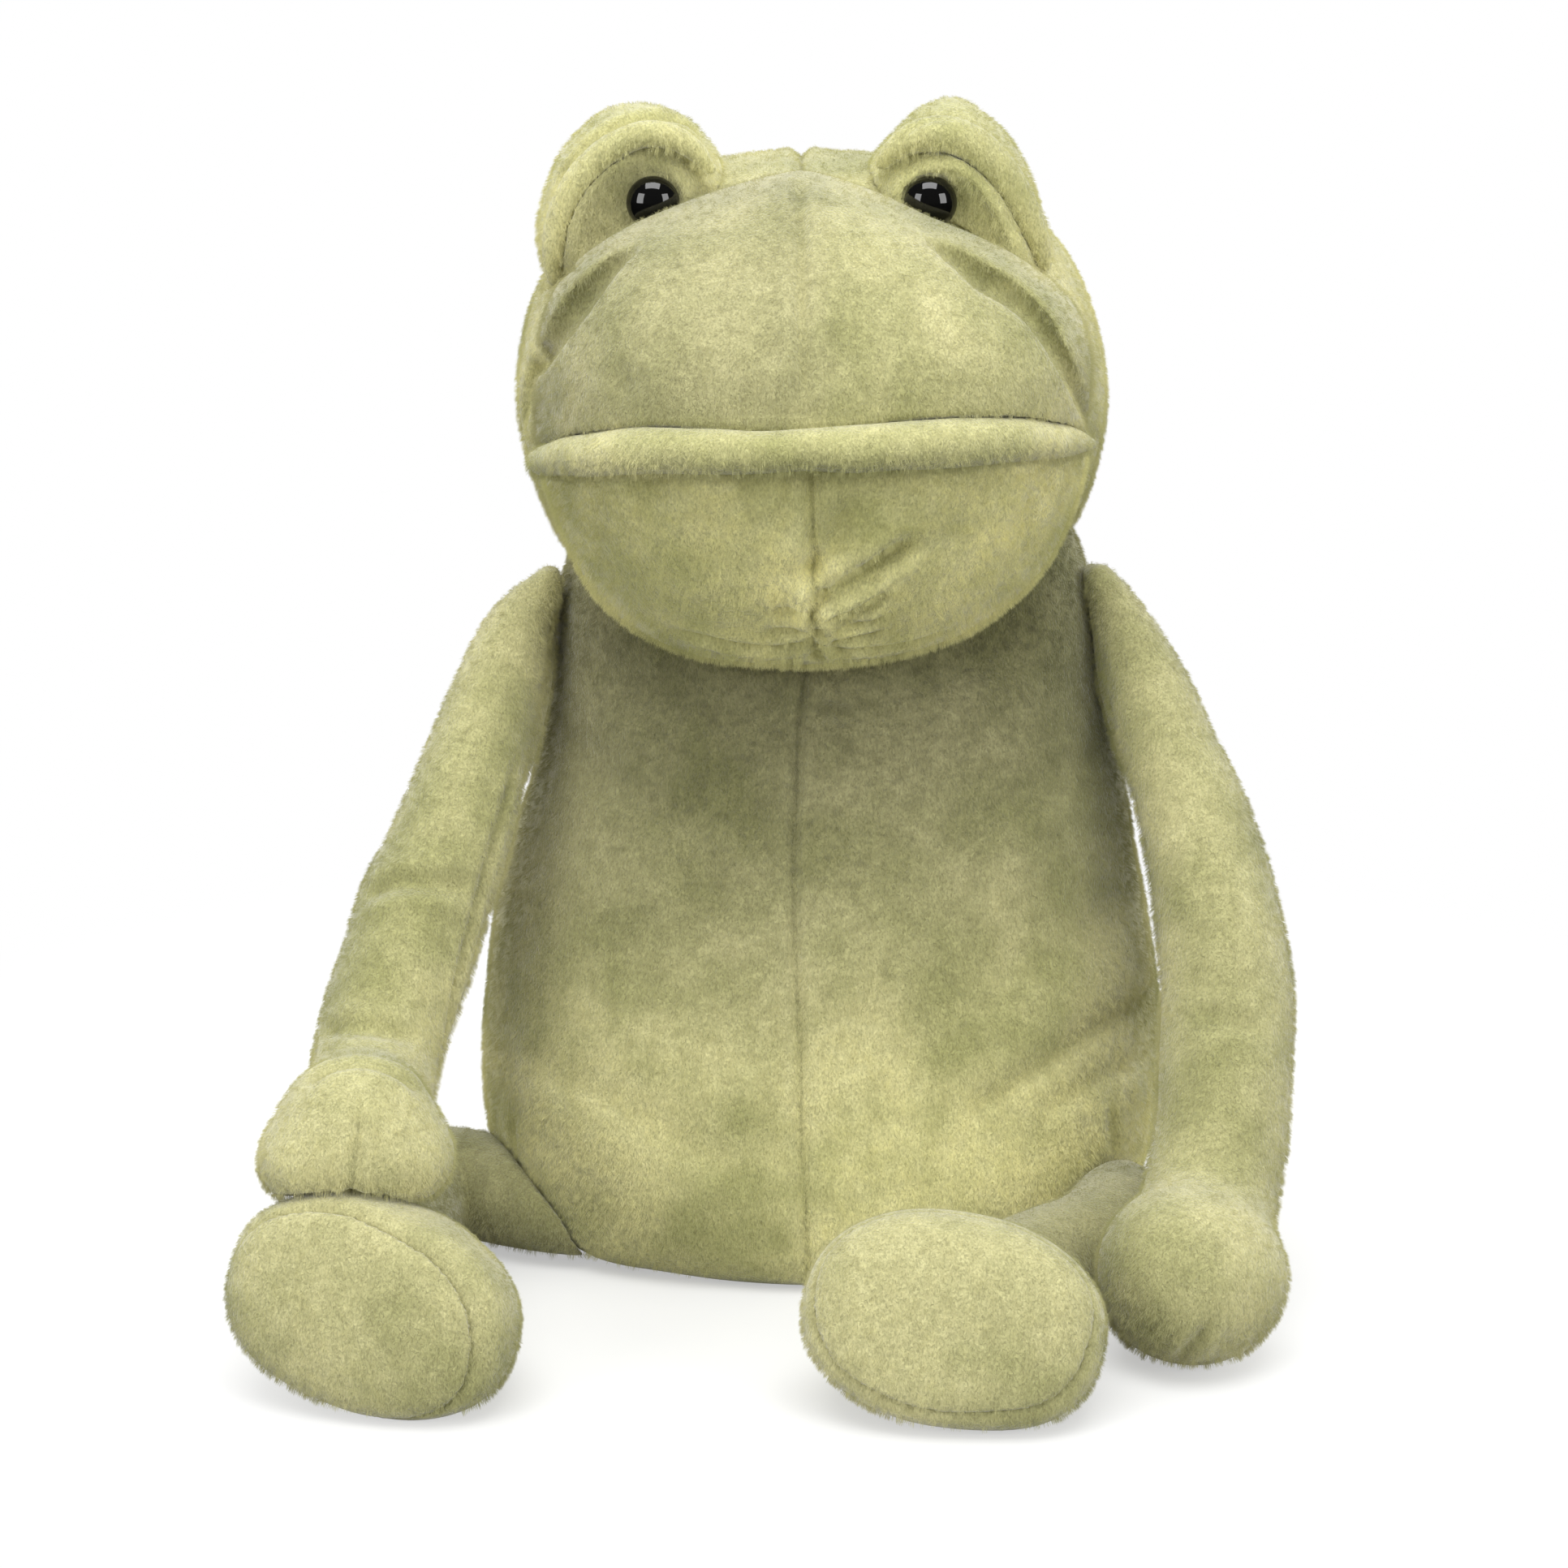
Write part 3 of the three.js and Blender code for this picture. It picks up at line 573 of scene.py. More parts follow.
def outline_form(grid, middle, outline, deep, front=None):
    """A padded form with a free outline, seen along the Y axis."""
    cx, cy, cz = middle
    cy = cy if front is None else front
    dots = np.array(outline, float)
    angle = np.arctan2(dots[:, 1] - cz, dots[:, 0] - cx)
    away = np.hypot(dots[:, 0] - cx, dots[:, 1] - cz)
    order = np.argsort(angle)
    angle, away = angle[order], away[order]
    wrap = np.concatenate([angle - 2 * np.pi, angle, angle + 2 * np.pi])
    loop = curve(np.column_stack([wrap * 20, np.tile(away, 3), np.zeros(len(wrap))]))
    x, y, z = grid.at
    here = np.arctan2(z - cz, x - cx)
    reach = np.interp(here * 20, loop[:, 0], loop[:, 1])
    ring = np.sqrt(((x - cx) ** 2 + (z - cz) ** 2) / reach**2 + ((y - cy) / deep) ** 2 + 1e-9)
    return grid.true(ring - 1)


def torso_room(grid, grow, turns=(0,), closed=True):
    """The body, with its uneven stuffing, where it lies as the head nods by the given turns."""
    out = None
    for degrees in turns:
        at = nodded(grid.at, degrees) if degrees else grid.at
        form = stack(grid, TORSO, grow=grow, at=at, closed=closed)
        form = form + lumps(at, "torso") + lumps(at, "belly")
        out = form if out is None else np.minimum(out, form)
    return out


def head_room(grid, grow):
    return stack(grid, HEAD, grow=grow) + lumps(grid.at, "head")


# The plane between the muzzle and the jaw: its height at the lips, where these are, and its slope
PARTING_HIGH, PARTING_FRONT, PARTING_SLOPE = 204.4, 88.0, 0.2


def parting(grid):
    """Height above the plane between the muzzle and the jaw."""
    x, y, z = grid.at
    level = PARTING_HIGH - PARTING_SLOPE * (y + PARTING_FRONT)
    return (z - level) / math.hypot(1, PARTING_SLOPE)


def rod(grid, side, radius, front, back):
    """A round space along the eye's shank."""
    x, y, z = grid.at
    away = np.hypot(x - DOMES[side]["eye"], z - EYE_HIGH) - radius
    return np.maximum(away, np.maximum(front - y, y - back))


# The room for an eye's rim, its shank and its washer: radius, front and back
EYE_ROOMS = [(6.3, -60, EYE_BACK + 0.3), (2.1, -60, EYE_BACK + 13.4), (6.0, EYE_BACK + 2.6, EYE_BACK + 4.6)]


def eye_space(grid, side):
    seat, bore, room = (rod(grid, side, *sizes) for sizes in EYE_ROOMS)
    return np.minimum(np.minimum(seat, bore), room)


# Pieces, each a form cut clear of its neighbours, with its edge rounded over the width that cut() is given
# The gaps that are left in millimetres, and the turns of the nod at which the head and the torso keep clear
GAP = 0.5
NOD_GAP = 1.0
PARTING_GAP = 0.25
ROLL_GAP = 0.2
BAG_GAP = 0.6
MUZZLE_GAP = 0.3
ANKLE_GAP = 0.4
SHOULDER_GAP = 0.35
HAND_GAP = 0.9
NOD_TURNS = (0, 5, 10, 15)
DOME_DEPTH = 24.0
DISH_DEPTH, DISH_FRONT = 9.4, -37.0
PANEL_THICK = 1.5

made = {}

# Torso
grid = Grid((-84, -71, -3), (87, 62, 187), 1.08)
body = cut(torso_room(grid, 0, closed=False), grid.at[2], 1.5)
body = cut(body, stack(grid, PANEL, closed=False))
body = cut(body, stack(grid, BAG, grow=BAG_GAP))
made["torso"] = soft(grid, body)

# Base panel, a little smaller than its opening
grid = Grid((-61, -53, -1), (63, 45, 3), 0.5)
form = stack(grid, [[high, -55.6, 58.6, -49.1, 41.1, 2.3] for high in (0, PANEL_THICK)])
form = np.maximum(np.maximum(form, -grid.at[2]), grid.at[2] - PANEL_THICK)
made["base_panel"] = soft(grid, form, 1)

# Bean bag
grid = Grid((-57, -51, 0), (60, 43, 47), 1.6)
made["bean_bag"] = soft(grid, stack(grid, BAG), 3)

# Deep creases between the muzzle and the cheeks: places on the picture in pixels, and radii
CREASES = [
    [
        (780, 312, 0.8), (757, 327, 3.4), (718, 371, 5.8), (685, 413, 5.4), (665, 447, 4.4), (652, 485, 3.4),
        (647, 522, 1.6),
    ],
    [
        (1145, 300, 0.8), (1170, 313, 3.2), (1207, 342, 5.4), (1247, 366, 5.2), (1278, 396, 4.4),
        (1301, 434, 3.6), (1320, 468, 2.8), (1338, 507, 2.2), (1347, 538, 1.2),
    ],
    [(658, 354, 1.4), (672, 350, 1.8), (690, 343, 1.5), (715, 326, 1)],
]
grid = Grid((-72, -92, 182), (70, 0, 262), 2.2)
form = np.minimum(stack(grid, HEAD), stack(grid, MUZZLE, MUZZLE_BACK))
face = soft(grid, form)
creases = []
for line in CREASES:
    line = np.array(line)
    path = face.traced(line[:, :2])
    gone = np.linspace(0, 1, len(path))
    radii = np.interp(gone, np.linspace(0, 1, len(line)), line[:, 2])
    pick = np.linspace(0, len(path) - 1, 12).astype(int)
    inward = (path - EYE) / np.linalg.norm(path - EYE, axis=1)[:, None]
    creases.append(np.column_stack([path, radii * 0.72])[pick])
    creases.append(np.column_stack([path + inward * radii[:, None] * 1.1, radii * 0.55])[pick])


def creased(grid, form, rounding):
    for rows in creases:
        form = cut(form, tube(grid, rows, per=1), rounding)
    return form


# Head
grid = Grid((-72, -60, 147), (70, 58, 257))
form = cut(head_room(grid, 0), torso_room(grid, NOD_GAP, NOD_TURNS), 3.0)
form = creased(grid, form, 1.6)
for side in DOMES:
    form = cut(form, eye_space(grid, side))
made["head"] = soft(grid, form)

# Muzzle
grid = Grid((-67, -92, 186), (65, -16, 260))
form = stack(grid, MUZZLE, MUZZLE_BACK) + lumps(grid.at, "muzzle")
form = cut(form, head_room(grid, MUZZLE_GAP), 4.0)
form = creased(grid, form, 1.8)
form = cut(form, parting(grid) - PARTING_GAP, 1.5)
form = cut(form, tube(grid, LIP, ROLL_GAP), 0.3)
for dome in DOMES.values():
    form = cut(form, outline_form(grid, dome["middle"], dome["outline"], DOME_DEPTH) - GAP, 1.5)
    form = cut(form, tube(grid, dome["hood"], GAP), 1.0)
made["muzzle"] = soft(grid, form)

# Jaw
grid = Grid((-68, -92, 142), (66, -12, 212), 0.8)
form = stack(grid, JAW, JAW_BACK) + lumps(grid.at, "jaw")
form = cut(form, head_room(grid, GAP), 1.6)
form = cut(form, torso_room(grid, NOD_GAP, NOD_TURNS), 2.0)
form = cut(form, -PARTING_GAP - parting(grid), 1.5)
form = cut(form, tube(grid, LIP, ROLL_GAP), 0.3)
made["jaw"] = soft(grid, form)

# Mouth roll
grid = Grid((-68, -96, 184), (66, -30, 214), 0.9)
form = tube(grid, LIP) + lumps(grid.at, "mouth_roll")
made["mouth_roll"] = soft(grid, cut(form, head_room(grid, GAP), 0.8))

# Eye domes with their dished sockets, and the hoods over these
for side, dome in DOMES.items():
    cx, cy, cz = dome["middle"]
    grid = Grid((cx - 25, -40, 220), (cx + 27, 16, 272), 0.85)
    form = outline_form(grid, dome["middle"], dome["outline"], DOME_DEPTH) + lumps(grid.at, "eye_dome")
    form = cut(form, outline_form(grid, dome["middle"], dome["dish"], DISH_DEPTH, DISH_FRONT), 1.5)
    form = cut(form, head_room(grid, GAP), 1.0)
    form = cut(form, tube(grid, dome["hood"], ROLL_GAP), 0.2)
    form = cut(form, eye_space(grid, side))
    made["eye_dome_" + side] = soft(grid, form)
    grid = Grid((cx - 27, -36, 224), (cx + 27, -16, 270), 0.7)
    form = cut(tube(grid, dome["hood"]), head_room(grid, GAP), 0.8)
    made["eye_hood_" + side] = soft(grid, form)

# Arms: a tapering limb and a round hand
ARMS = {
    "right": {
        "rows": [
            (-61.9, -14.5, 157.2, 3.4), (-64.3, -16.4, 153.8, 5), (-68.2, -19.6, 148.3, 7),
            (-73.6, -27.1, 134.9, 10), (-77.7, -34.6, 122.1, 11.8), (-80.9, -40.9, 111.1, 13.2),
            (-85.3, -47.6, 100, 13.9), (-89.2, -52.7, 91.5, 14.3), (-93.3, -60.3, 79.6, 14.2),
            (-97.1, -66.3, 69.8, 14.2), (-99.6, -74.5, 60.4, 14.2), (-100.2, -84, 56.4, 14),
            (-100.6, -94, 56, 13.4),
        ],
        "root": [
            (-62, -9, 157, 2.6), (-65.4, -12, 147, 5.2), (-68.9, -19, 133, 7.2),
            (-73, -28, 120, 8.4),
        ],
        "hand": [
            ((-101, -106, 58.6), (16.5, 16.5, 13)),
            ((-110.6, -108.6, 49.4), (12, 15, 10.6)),
            ((-92.2, -108, 50.6), (12.6, 15, 11.4)),
            ((-101.4, -108, 51.4), (17, 16.6, 12.6)),
        ],
    },
    "left": {
        "rows": [
            (65.4, -14.6, 157.8, 3.5), (68.3, -16.8, 153, 5.1), (71.7, -19.9, 146.6, 7),
            (76.1, -25.8, 135.4, 9.2), (80.3, -32.6, 123.5, 10.8), (84.5, -39.1, 111.6, 12),
            (88.2, -45.5, 100.7, 13.2), (91.3, -53.1, 87, 14.3), (92.9, -60.6, 73.5, 14.9),
            (92.8, -68.3, 59.8, 14.9), (91.8, -75.5, 46.8, 14.7), (90.1, -81, 37.6, 14.8),
            (87, -90, 28, 15),
        ],
        "root": [
            (63.6, -10, 157, 3.4), (67.6, -13, 147, 5.2), (72, -19, 134, 7),
            (77.6, -27, 121, 8.2),
        ],
        "hand": [((82.8, -104, 20.6), (21.2, 19.6, 20.2))],
    },
}
LEGS = {
    "right": {
        "rows": [
            (-54, -44, 9, 7.5), (-62, -40, 11, 10), (-71, -33.5, 12.6, 12.2),
            (-80, -27.5, 13.2, 13.2), (-88.5, -28, 13.4, 13.5), (-95, -37, 13.4, 13.5),
            (-98.6, -52, 13.4, 13.3), (-100, -68, 13.6, 13.2), (-100.5, -84, 15, 12.8),
        ],
        "hip": (-65.98, -33.99, 13),
    },
    "left": {
        "rows": [
            (60, -28, 11, 10), (65, -36, 12.4, 12.2), (69, -47, 13.2, 13.3),
            (68.6, -59, 13.4, 13.5), (62, -70.5, 13.4, 13.4), (52.5, -79.5, 13.4, 13.2),
            (43, -89, 14, 12.8), (37, -98, 15, 12.4),
        ],
        "hip": (64.01, -40, 9.1),
    },
}
# The foot from its front: how far forward, shares of half its width and of half its height below and
# above, and squareness
FOOT_HALF_WIDE, FOOT_HALF_HIGH = 32.5, 23.6
FOOT = [
    [5.9, 0.1, 0.1, 0.1, 2],
    [5.3, 0.38, 0.38, 0.38, 2.05],
    [3.8, 0.66, 0.65, 0.66, 2.15],
    [1.2, 0.86, 0.85, 0.86, 2.25],
    [-2.2, 0.965, 0.93, 0.965, 2.3],
    [-6.4, 1, 0.94, 1, 2.3],
    [-18.2, 0.96, 0.8, 0.97, 2.2],
    [-28.1, 0.82, 0.6, 0.86, 2.1],
    [-35, 0.6, 0.42, 0.68, 2],
    [-38, 0.36, 0.28, 0.44, 2],
]
# Each foot's place from the hip in shares of the leg's length, its turns in degrees, and its sole's seam
LEG_LONG = 90
FOOT_SUNK = 0.5
SOLE_GAP = 0.15
ANKLE_BACK, ANKLE_RADIUS = 0.8 * FOOT[-1][0], 11.0
FEET = {
    "right": {"place": (-0.367, -1.11), "lean": 16, "yaw": -12, "roll": 14, "seam": (-1.2, 0.08, 0.13)},
    "left": {"place": (-0.39, -1.13), "lean": 20, "yaw": -3, "roll": 9, "seam": (-1.6, 0.015, -0.16)},
}


def foot_place(side):
    """How a foot is turned, and where its middle is so that it touches the floor."""
    foot = FEET[side]
    tilt = spin(foot["yaw"], "Z") @ spin(-foot["lean"], "X") @ spin(foot["roll"], "Y") @ spin(90, "X")
    lowest = 0.0
    for depth, wide, low, high, power in FOOT:
        for i in range(72):
            angle = i * math.tau / 72
            c, s = math.cos(angle), math.sin(angle)
            x = FOOT_HALF_WIDE * wide * math.copysign(abs(c) ** (2 / power), c)
            y = FOOT_HALF_HIGH * (low if s < 0 else high) * math.copysign(abs(s) ** (2 / power), s)
            lowest = min(lowest, (tilt @ Vector((x, y, depth))).z)
    hip = LEGS[side]["hip"]
    across, along = foot["place"]
    return tilt, Vector((hip[0] + LEG_LONG * across, hip[1] + LEG_LONG * along, -lowest - FOOT_SUNK))


def foot_space(grid, side):
    """The grid's points in the foot's own frame: across, up the sole and forward of it."""
    tilt, middle = foot_place(side)
    flat = grid.at.reshape(3, -1) - np.array(middle, np.float32)[:, None]
    return (np.array(tilt.inverted(), np.float32) @ flat).reshape(grid.at.shape)


def cushion(grid, side, grow=0.0):
    """The whole foot with its sole."""
    wide, high = FOOT_HALF_WIDE, FOOT_HALF_HIGH
    rows = [[d, -wide * w, wide * w, -high * a, high * b, p] for d, w, a, b, p in FOOT]
    return stack(grid, rows[::-1], grow=grow, at=foot_space(grid, side)) + lumps(grid.at, "foot")


def ahead_of_seam(grid, side):
    """Distance in front of the slightly tilted plane in which the sole is sewn to the foot."""
    at = foot_space(grid, side)
    level, across, up = FEET[side]["seam"]
    return at[2] - level - across * at[0] - up * at[1]


# Each side's foot, sole, leg and arm
for side in FEET:
    tilt, middle = foot_place(side)
    cx, cy = middle.x, middle.y
    grid = Grid((cx - 42, cy - 20, -2), (cx + 42, cy + 46, 52), 0.85)
    whole = cushion(grid, side)
    ahead = ahead_of_seam(grid, side)
    for part, beyond in (("foot_", -SOLE_GAP - ahead), ("sole_", ahead - SOLE_GAP)):
        made[part + side] = soft(grid, cut(cut(whole, beyond, 1.6), grid.at[2], 0.8))

    rows = LEGS[side]["rows"]
    dots = np.array(rows)[:, :3]
    low, high = dots.min(0) - 16, dots.max(0) + 16
    low[1] = min(low[1], cy + 12)
    grid = Grid((low[0], low[1], -2), (high[0], high[1], 30))
    ankle = tilt @ Vector((0, 0, ANKLE_BACK)) + middle
    form = tube(grid, rows + [(*ankle, ANKLE_RADIUS)]) + lumps(grid.at, "leg")
    form = cut(form, torso_room(grid, GAP), 1.6)
    form = cut(form, cushion(grid, side, ANKLE_GAP), 1.2)
    made["leg_" + side] = soft(grid, cut(form, grid.at[2], 1.0))

    arm = ARMS[side]
    dots = np.array([row[:3] for row in arm["rows"]] + [centre for centre, _ in arm["hand"]])
    low, high = dots.min(0) - 22, dots.max(0) + 18
    low[2] = max(low[2], -2)
    high[0] += 6
    grid = Grid(low, high, 1.05)
    hand, *rest = (ball(grid, centre, sizes) for centre, sizes in arm["hand"])
    for part in rest:
        hand = fused(hand, part, 5.0)
    limb = fused(tube(grid, arm["rows"]), tube(grid, arm["root"]), 2.0)
    form = fused(limb, hand, 5.0) + lumps(grid.at, "arm")
    form = cut(form, torso_room(grid, SHOULDER_GAP), 1.2)
    form = cut(form, head_room(grid, NOD_GAP), 1.5)
    form = cut(form, cushion(grid, side, HAND_GAP), 2.0)
    made["arm_" + side] = soft(grid, cut(form, grid.at[2], 1.0))

# Seams, folds and creases: lines drawn on the picture, in its pixels
OPEN = (False, False)
FRONT_SEAM = [
    (994, 811), (985, 876), (982, 946), (978, 1029), (978, 1111), (980, 1199), (985, 1287), (987, 1375),
    (991, 1463), (995, 1530), (997, 1574),
]
# Each fold: line, depth, width, swell, the swell's reach, the side that swells and, if given, the fade
BELLY_FOLDS = [
    ([(640, 1300), (690, 1330), (750, 1357), (815, 1392), (877, 1428), (930, 1452)], 0.7, 5.0, 1.0, 11.0, 1),
    ([(1420, 1228), (1364, 1257), (1300, 1300), (1235, 1345), (1176, 1375)], 1.0, 3.6, 1.4, 9.0, 1),
    ([(1418, 1300), (1370, 1325), (1323, 1351), (1270, 1390)], 0.9, 3.0, 1.0, 8.0, -1),
]
CHEST_GATHER = [(1000, 874), (1030, 878), (1063, 890)]
CHEST_FOLDS = [
    ([(992, 836), (950, 858), (900, 886), (850, 905)], 1.2, 4.0, 1.6, 8.0, 1, 10),
    ([(1016, 836), (1050, 852), (1086, 876), (1130, 890)], 1.0, 4.0, 1.3, 8.0, -1, 10),
    ([(690, 900), (745, 960), (820, 1005), (890, 1030)], 0.8, 6.0, 1.0, 12.0, 1),
    ([(1390, 900), (1330, 950), (1270, 985), (1190, 1000)], 0.7, 6.0, 0.9, 12.0, -1),
]
CHIN_HOLLOWS = [
    [(712, 800), (760, 836), (850, 846), (940, 840)],
    [(1040, 842), (1120, 838), (1200, 812), (1290, 770)],
]
SIDE_SEAMS = [[(629, 1350), (631, 1398), (636, 1437)], [(1369, 1335), (1367, 1375), (1372, 1433)]]
MUZZLE_SEAM = [(985, 216), (987, 300), (988, 400), (990, 470), (990, 522)]
# Each dimple, gather and arm's crease: line, depth and width
DIMPLES = [
    ([(1004, 420), (1008, 455), (1006, 500)], 1.0, 3.2),
    ([(1030, 400), (1040, 445), (1036, 490)], 0.8, 3.2),
    ([(930, 395), (945, 430), (952, 470)], 0.7, 3.2),
    ([(915, 480), (930, 505), (935, 522)], 1.1, 3.2),
    ([(755, 435), (765, 480), (762, 512)], 0.8, 3.2),
]
# The seam over each dome behind its hood, and its depth
DOME_SEAMS = {
    "right": (
        [(679, 236), (701, 205), (736, 170), (767, 153), (794, 145), (813, 143), (845, 151), (868, 170)],
        1.7,
    ),
    "left": ([(1100, 182), (1122, 158), (1150, 146), (1180, 150)], 0.7),
}
CHIN_SEAM = [
    (1000, 589), (1001, 650), (1002, 706), (1003, 718), (1007, 739), (1002, 754), (1005, 772), (1002, 787),
    (1007, 808),
]
GATHERS = [
    ([(1015, 736), (1027, 729), (1057, 712), (1082, 697), (1111, 679), (1145, 660)], 3.4, 2.3),
    ([(1013, 700), (1023, 681), (1040, 647), (1057, 600)], 2.3, 3.4),
    ([(1014, 764), (1027, 760), (1057, 750), (1082, 737), (1107, 725)], 3.1, 1.7),
    ([(1014, 778), (1040, 770), (1073, 764), (1112, 756)], 2.4, 1.4),
    ([(1014, 788), (1036, 787), (1069, 781), (1105, 776)], 1.7, 1.3),
    ([(1014, 797), (1040, 800), (1073, 800), (1118, 793), (1170, 778)], 2.0, 1.5),
    ([(994, 707), (973, 705), (945, 712)], 1.6, 2.8),
    ([(994, 752), (973, 754), (938, 756)], 1.7, 1.6),
    ([(993, 777), (965, 779), (928, 780)], 2.0, 1.6),
    ([(994, 789), (957, 799), (907, 796), (868, 787), (820, 778)], 2.0, 1.6),
    ([(802, 592), (800, 625), (808, 655)], 1.2, 3.6),
    ([(1290, 595), (1262, 640), (1235, 680)], 1.2, 4.5),
    ([(1230, 590), (1195, 640), (1160, 690)], 0.9, 5.0),
]
ARM_CREASES = {
    "right": [
        ([(442, 1108), (476, 1092), (512, 1087), (552, 1091), (593, 1099)], 1.5, 2.2),
        ([(385, 1271), (418, 1268), (456, 1269), (490, 1274), (522, 1281)], 1.5, 2.0),
        ([(640, 930), (626, 981), (602, 1061), (583, 1132), (560, 1226), (536, 1344)], 1.1, 1.3),
        ([(440, 1345), (441, 1376), (437, 1425), (434, 1468)], 0.8, 1.3),
        ([(366, 1345), (403, 1318), (436, 1310), (469, 1314), (500, 1329), (528, 1358)], 1.7, 2.0),
    ],
    "left": [
        ([(1455, 1248), (1490, 1252), (1530, 1262), (1565, 1270)], 0.9, 2.2),
        ([(1448, 1205), (1485, 1216), (1520, 1222)], 0.5, 2.6),
        ([(1500, 1610), (1486, 1640), (1460, 1667), (1440, 1688)], 1.3, 1.4),
        ([(1380, 1005), (1396, 1080), (1405, 1180), (1409, 1290), (1405, 1400)], 1.0, 1.3),
    ],
}
# An arm's crease narrower than this is a seam
SEAM_WIDTH = 1.6

torso = made["torso"]
torso.groove(torso.traced(FRONT_SEAM), 1.3, 1.2, 0.35, seam=True, ends=OPEN)
for line, *sizes in BELLY_FOLDS:
    torso.fold(torso.traced(line), *sizes)
torso.groove(torso.traced(CHEST_GATHER), 1.7, 1.7, 0.7)
for line, *sizes in CHEST_FOLDS:
    torso.fold(torso.traced(line), *sizes)
for line in CHIN_HOLLOWS:
    torso.groove(torso.traced(line), 1.2, 5.0, 0.4, 14)
torso.groove(torso.ringed(1.5, (0, 90), 70, -52), 1.3, 1.2, 0.35, seam=True, ends=OPEN)
for line in SIDE_SEAMS:
    torso.groove(torso.traced(line), 1.5, 1.6, 0.4, 12, seam=True)

head = made["head"]
head.groove(head.ringed(-3.6, (5, 205), 130, -35), 1.7, 1.5, 0.3, seam=True, ends=OPEN)

for side, (line, depth) in DOME_SEAMS.items():
    pair = (made["eye_dome_" + side], made["eye_hood_" + side])
    path = Soft.over(pair, line)
    for piece in pair:
        piece.groove(path, depth, 1.5, 0.25)

muzzle = made["muzzle"]
muzzle.groove(muzzle.traced(MUZZLE_SEAM), 1.3, 1.5, 0.4, 10)
for line, depth, width in DIMPLES:
    muzzle.groove(muzzle.traced(line), depth, width, 0.4, 7)

jaw = made["jaw"]
jaw.groove(jaw.traced(CHIN_SEAM), 2.0, 1.4, 0.2, seam=True, ends=OPEN)
for line, depth, width in GATHERS:
    jaw.groove(jaw.traced(line), depth, width, 0.38, 9, ends=(False, True))

for side, lines in ARM_CREASES.items():
    arm = made["arm_" + side]
    for line, depth, width in lines:
        arm.groove(arm.traced(line), depth, width, 0.4, 8, seam=width < SEAM_WIDTH)

for name, piece in made.items():
    if name.startswith(("torso", "arm", "leg", "foot", "sole")):
        piece.level()
    piece.fresh()


# Finishes
def linear(*levels):
    """A colour of the picture's kind, from 0 to 255, as the linear values that shaders take."""
    out = []
    for level in levels:
        value = level / 255
        out.append(value / 12.92 if value <= 0.04045 else ((value + 0.055) / 1.055) ** 2.4)
    return (*out, 1.0)


def fill(tree, node, inputs):
    """Gives a shader node's inputs their values, or links them to other nodes' outputs."""
    for key, value in inputs.items():
        if isinstance(value, bpy.types.NodeSocket):
            tree.links.new(value, node.inputs[key])
        else:
            node.inputs[key].default_value = value


def add(tree, kind, inputs=None, **settings):
    """The outputs of a new shader node."""
    node = tree.nodes.new("ShaderNode" + kind)
    for key, value in settings.items():
        setattr(node, key, value)
    fill(tree, node, inputs or {})
    return node.outputs


def noise(tree, place, scale, detail, rough=0.5, bend=0.0):
    inputs = {"Vector": place, "Scale": scale, "Detail": detail, "Roughness": rough, "Distortion": bend}
    return add(tree, "TexNoise", inputs)["Fac"]


def ramp(tree, value, low, first, high, last):
    """One colour below the low value, another above the high one, and a run between them."""
    node = tree.nodes.new("ShaderNodeValToRGB")
    for point, where, colour in zip(node.color_ramp.elements, (low, high), (first, last)):
        point.position, point.color = where, (*colour, 1)
    fill(tree, node, {"Fac": value})
    return node.outputs["Color"]


def mixed(tree, a, b, factor=1.0, kind="MULTIPLY"):
    """Two colours mixed. Sockets 6, 7 and 0 are a mix node's colours and its factor."""
    return add(tree, "Mix", {6: a, 7: b, 0: factor}, data_type="RGBA", blend_type=kind)[2]


def shared(tree, factor, a, b):
    """Two shaders mixed."""
    return add(tree, "MixShader", {0: factor, 1: a, 2: b})[0]


def ranged(tree, value, low, high, start=0.0, end=1.0, way="SMOOTHSTEP"):
    inputs = {"Value": value, "From Min": low, "From Max": high, "To Min": start, "To Max": end}
    return add(tree, "MapRange", inputs, interpolation_type=way)["Result"]


def times(tree, a, b):
    return add(tree, "Math", {0: a, 1: b}, operation="MULTIPLY")[0]


def times_plus(tree, a, b, c):
    return add(tree, "Math", {0: a, 1: b, 2: c}, operation="MULTIPLY_ADD")[0]


def spots(tree):
    """Places in the object's own space."""
    return add(tree, "TexCoord")["Object"]


def material(name, look):
    """A new material with the given look of its main shader."""
    new = bpy.data.materials.new(name)
    new.use_nodes = True
    shader = new.node_tree.nodes["Principled BSDF"]
    fill(new.node_tree, shader, look)
    return new, new.node_tree, shader


def surface(tree, shader):
    fill(tree, tree.nodes["Material Output"], {"Surface": shader})


def bumped(tree, shader, height, strength, deep):
    inputs = {"Strength": strength, "Distance": deep, "Height": height}
    fill(tree, shader, {"Normal": add(tree, "Bump", inputs)["Normal"]})


LIGHT_PILE = linear(229, 224, 168)[:3]
DEEP_PILE = linear(187, 186, 128)[:3]
PLUSH = {"Roughness": 0.9, "Specular IOR Level": 0.1, "Sheen Weight": 0.6, "Sheen Roughness": 0.45}
# Noise scales for a metre: the pile's patches, their edges, its swirls and its tufts
PATCHES, EDGES, SWIRLS, TUFTS = 26.0, 95.0, 480.0, 2000.0


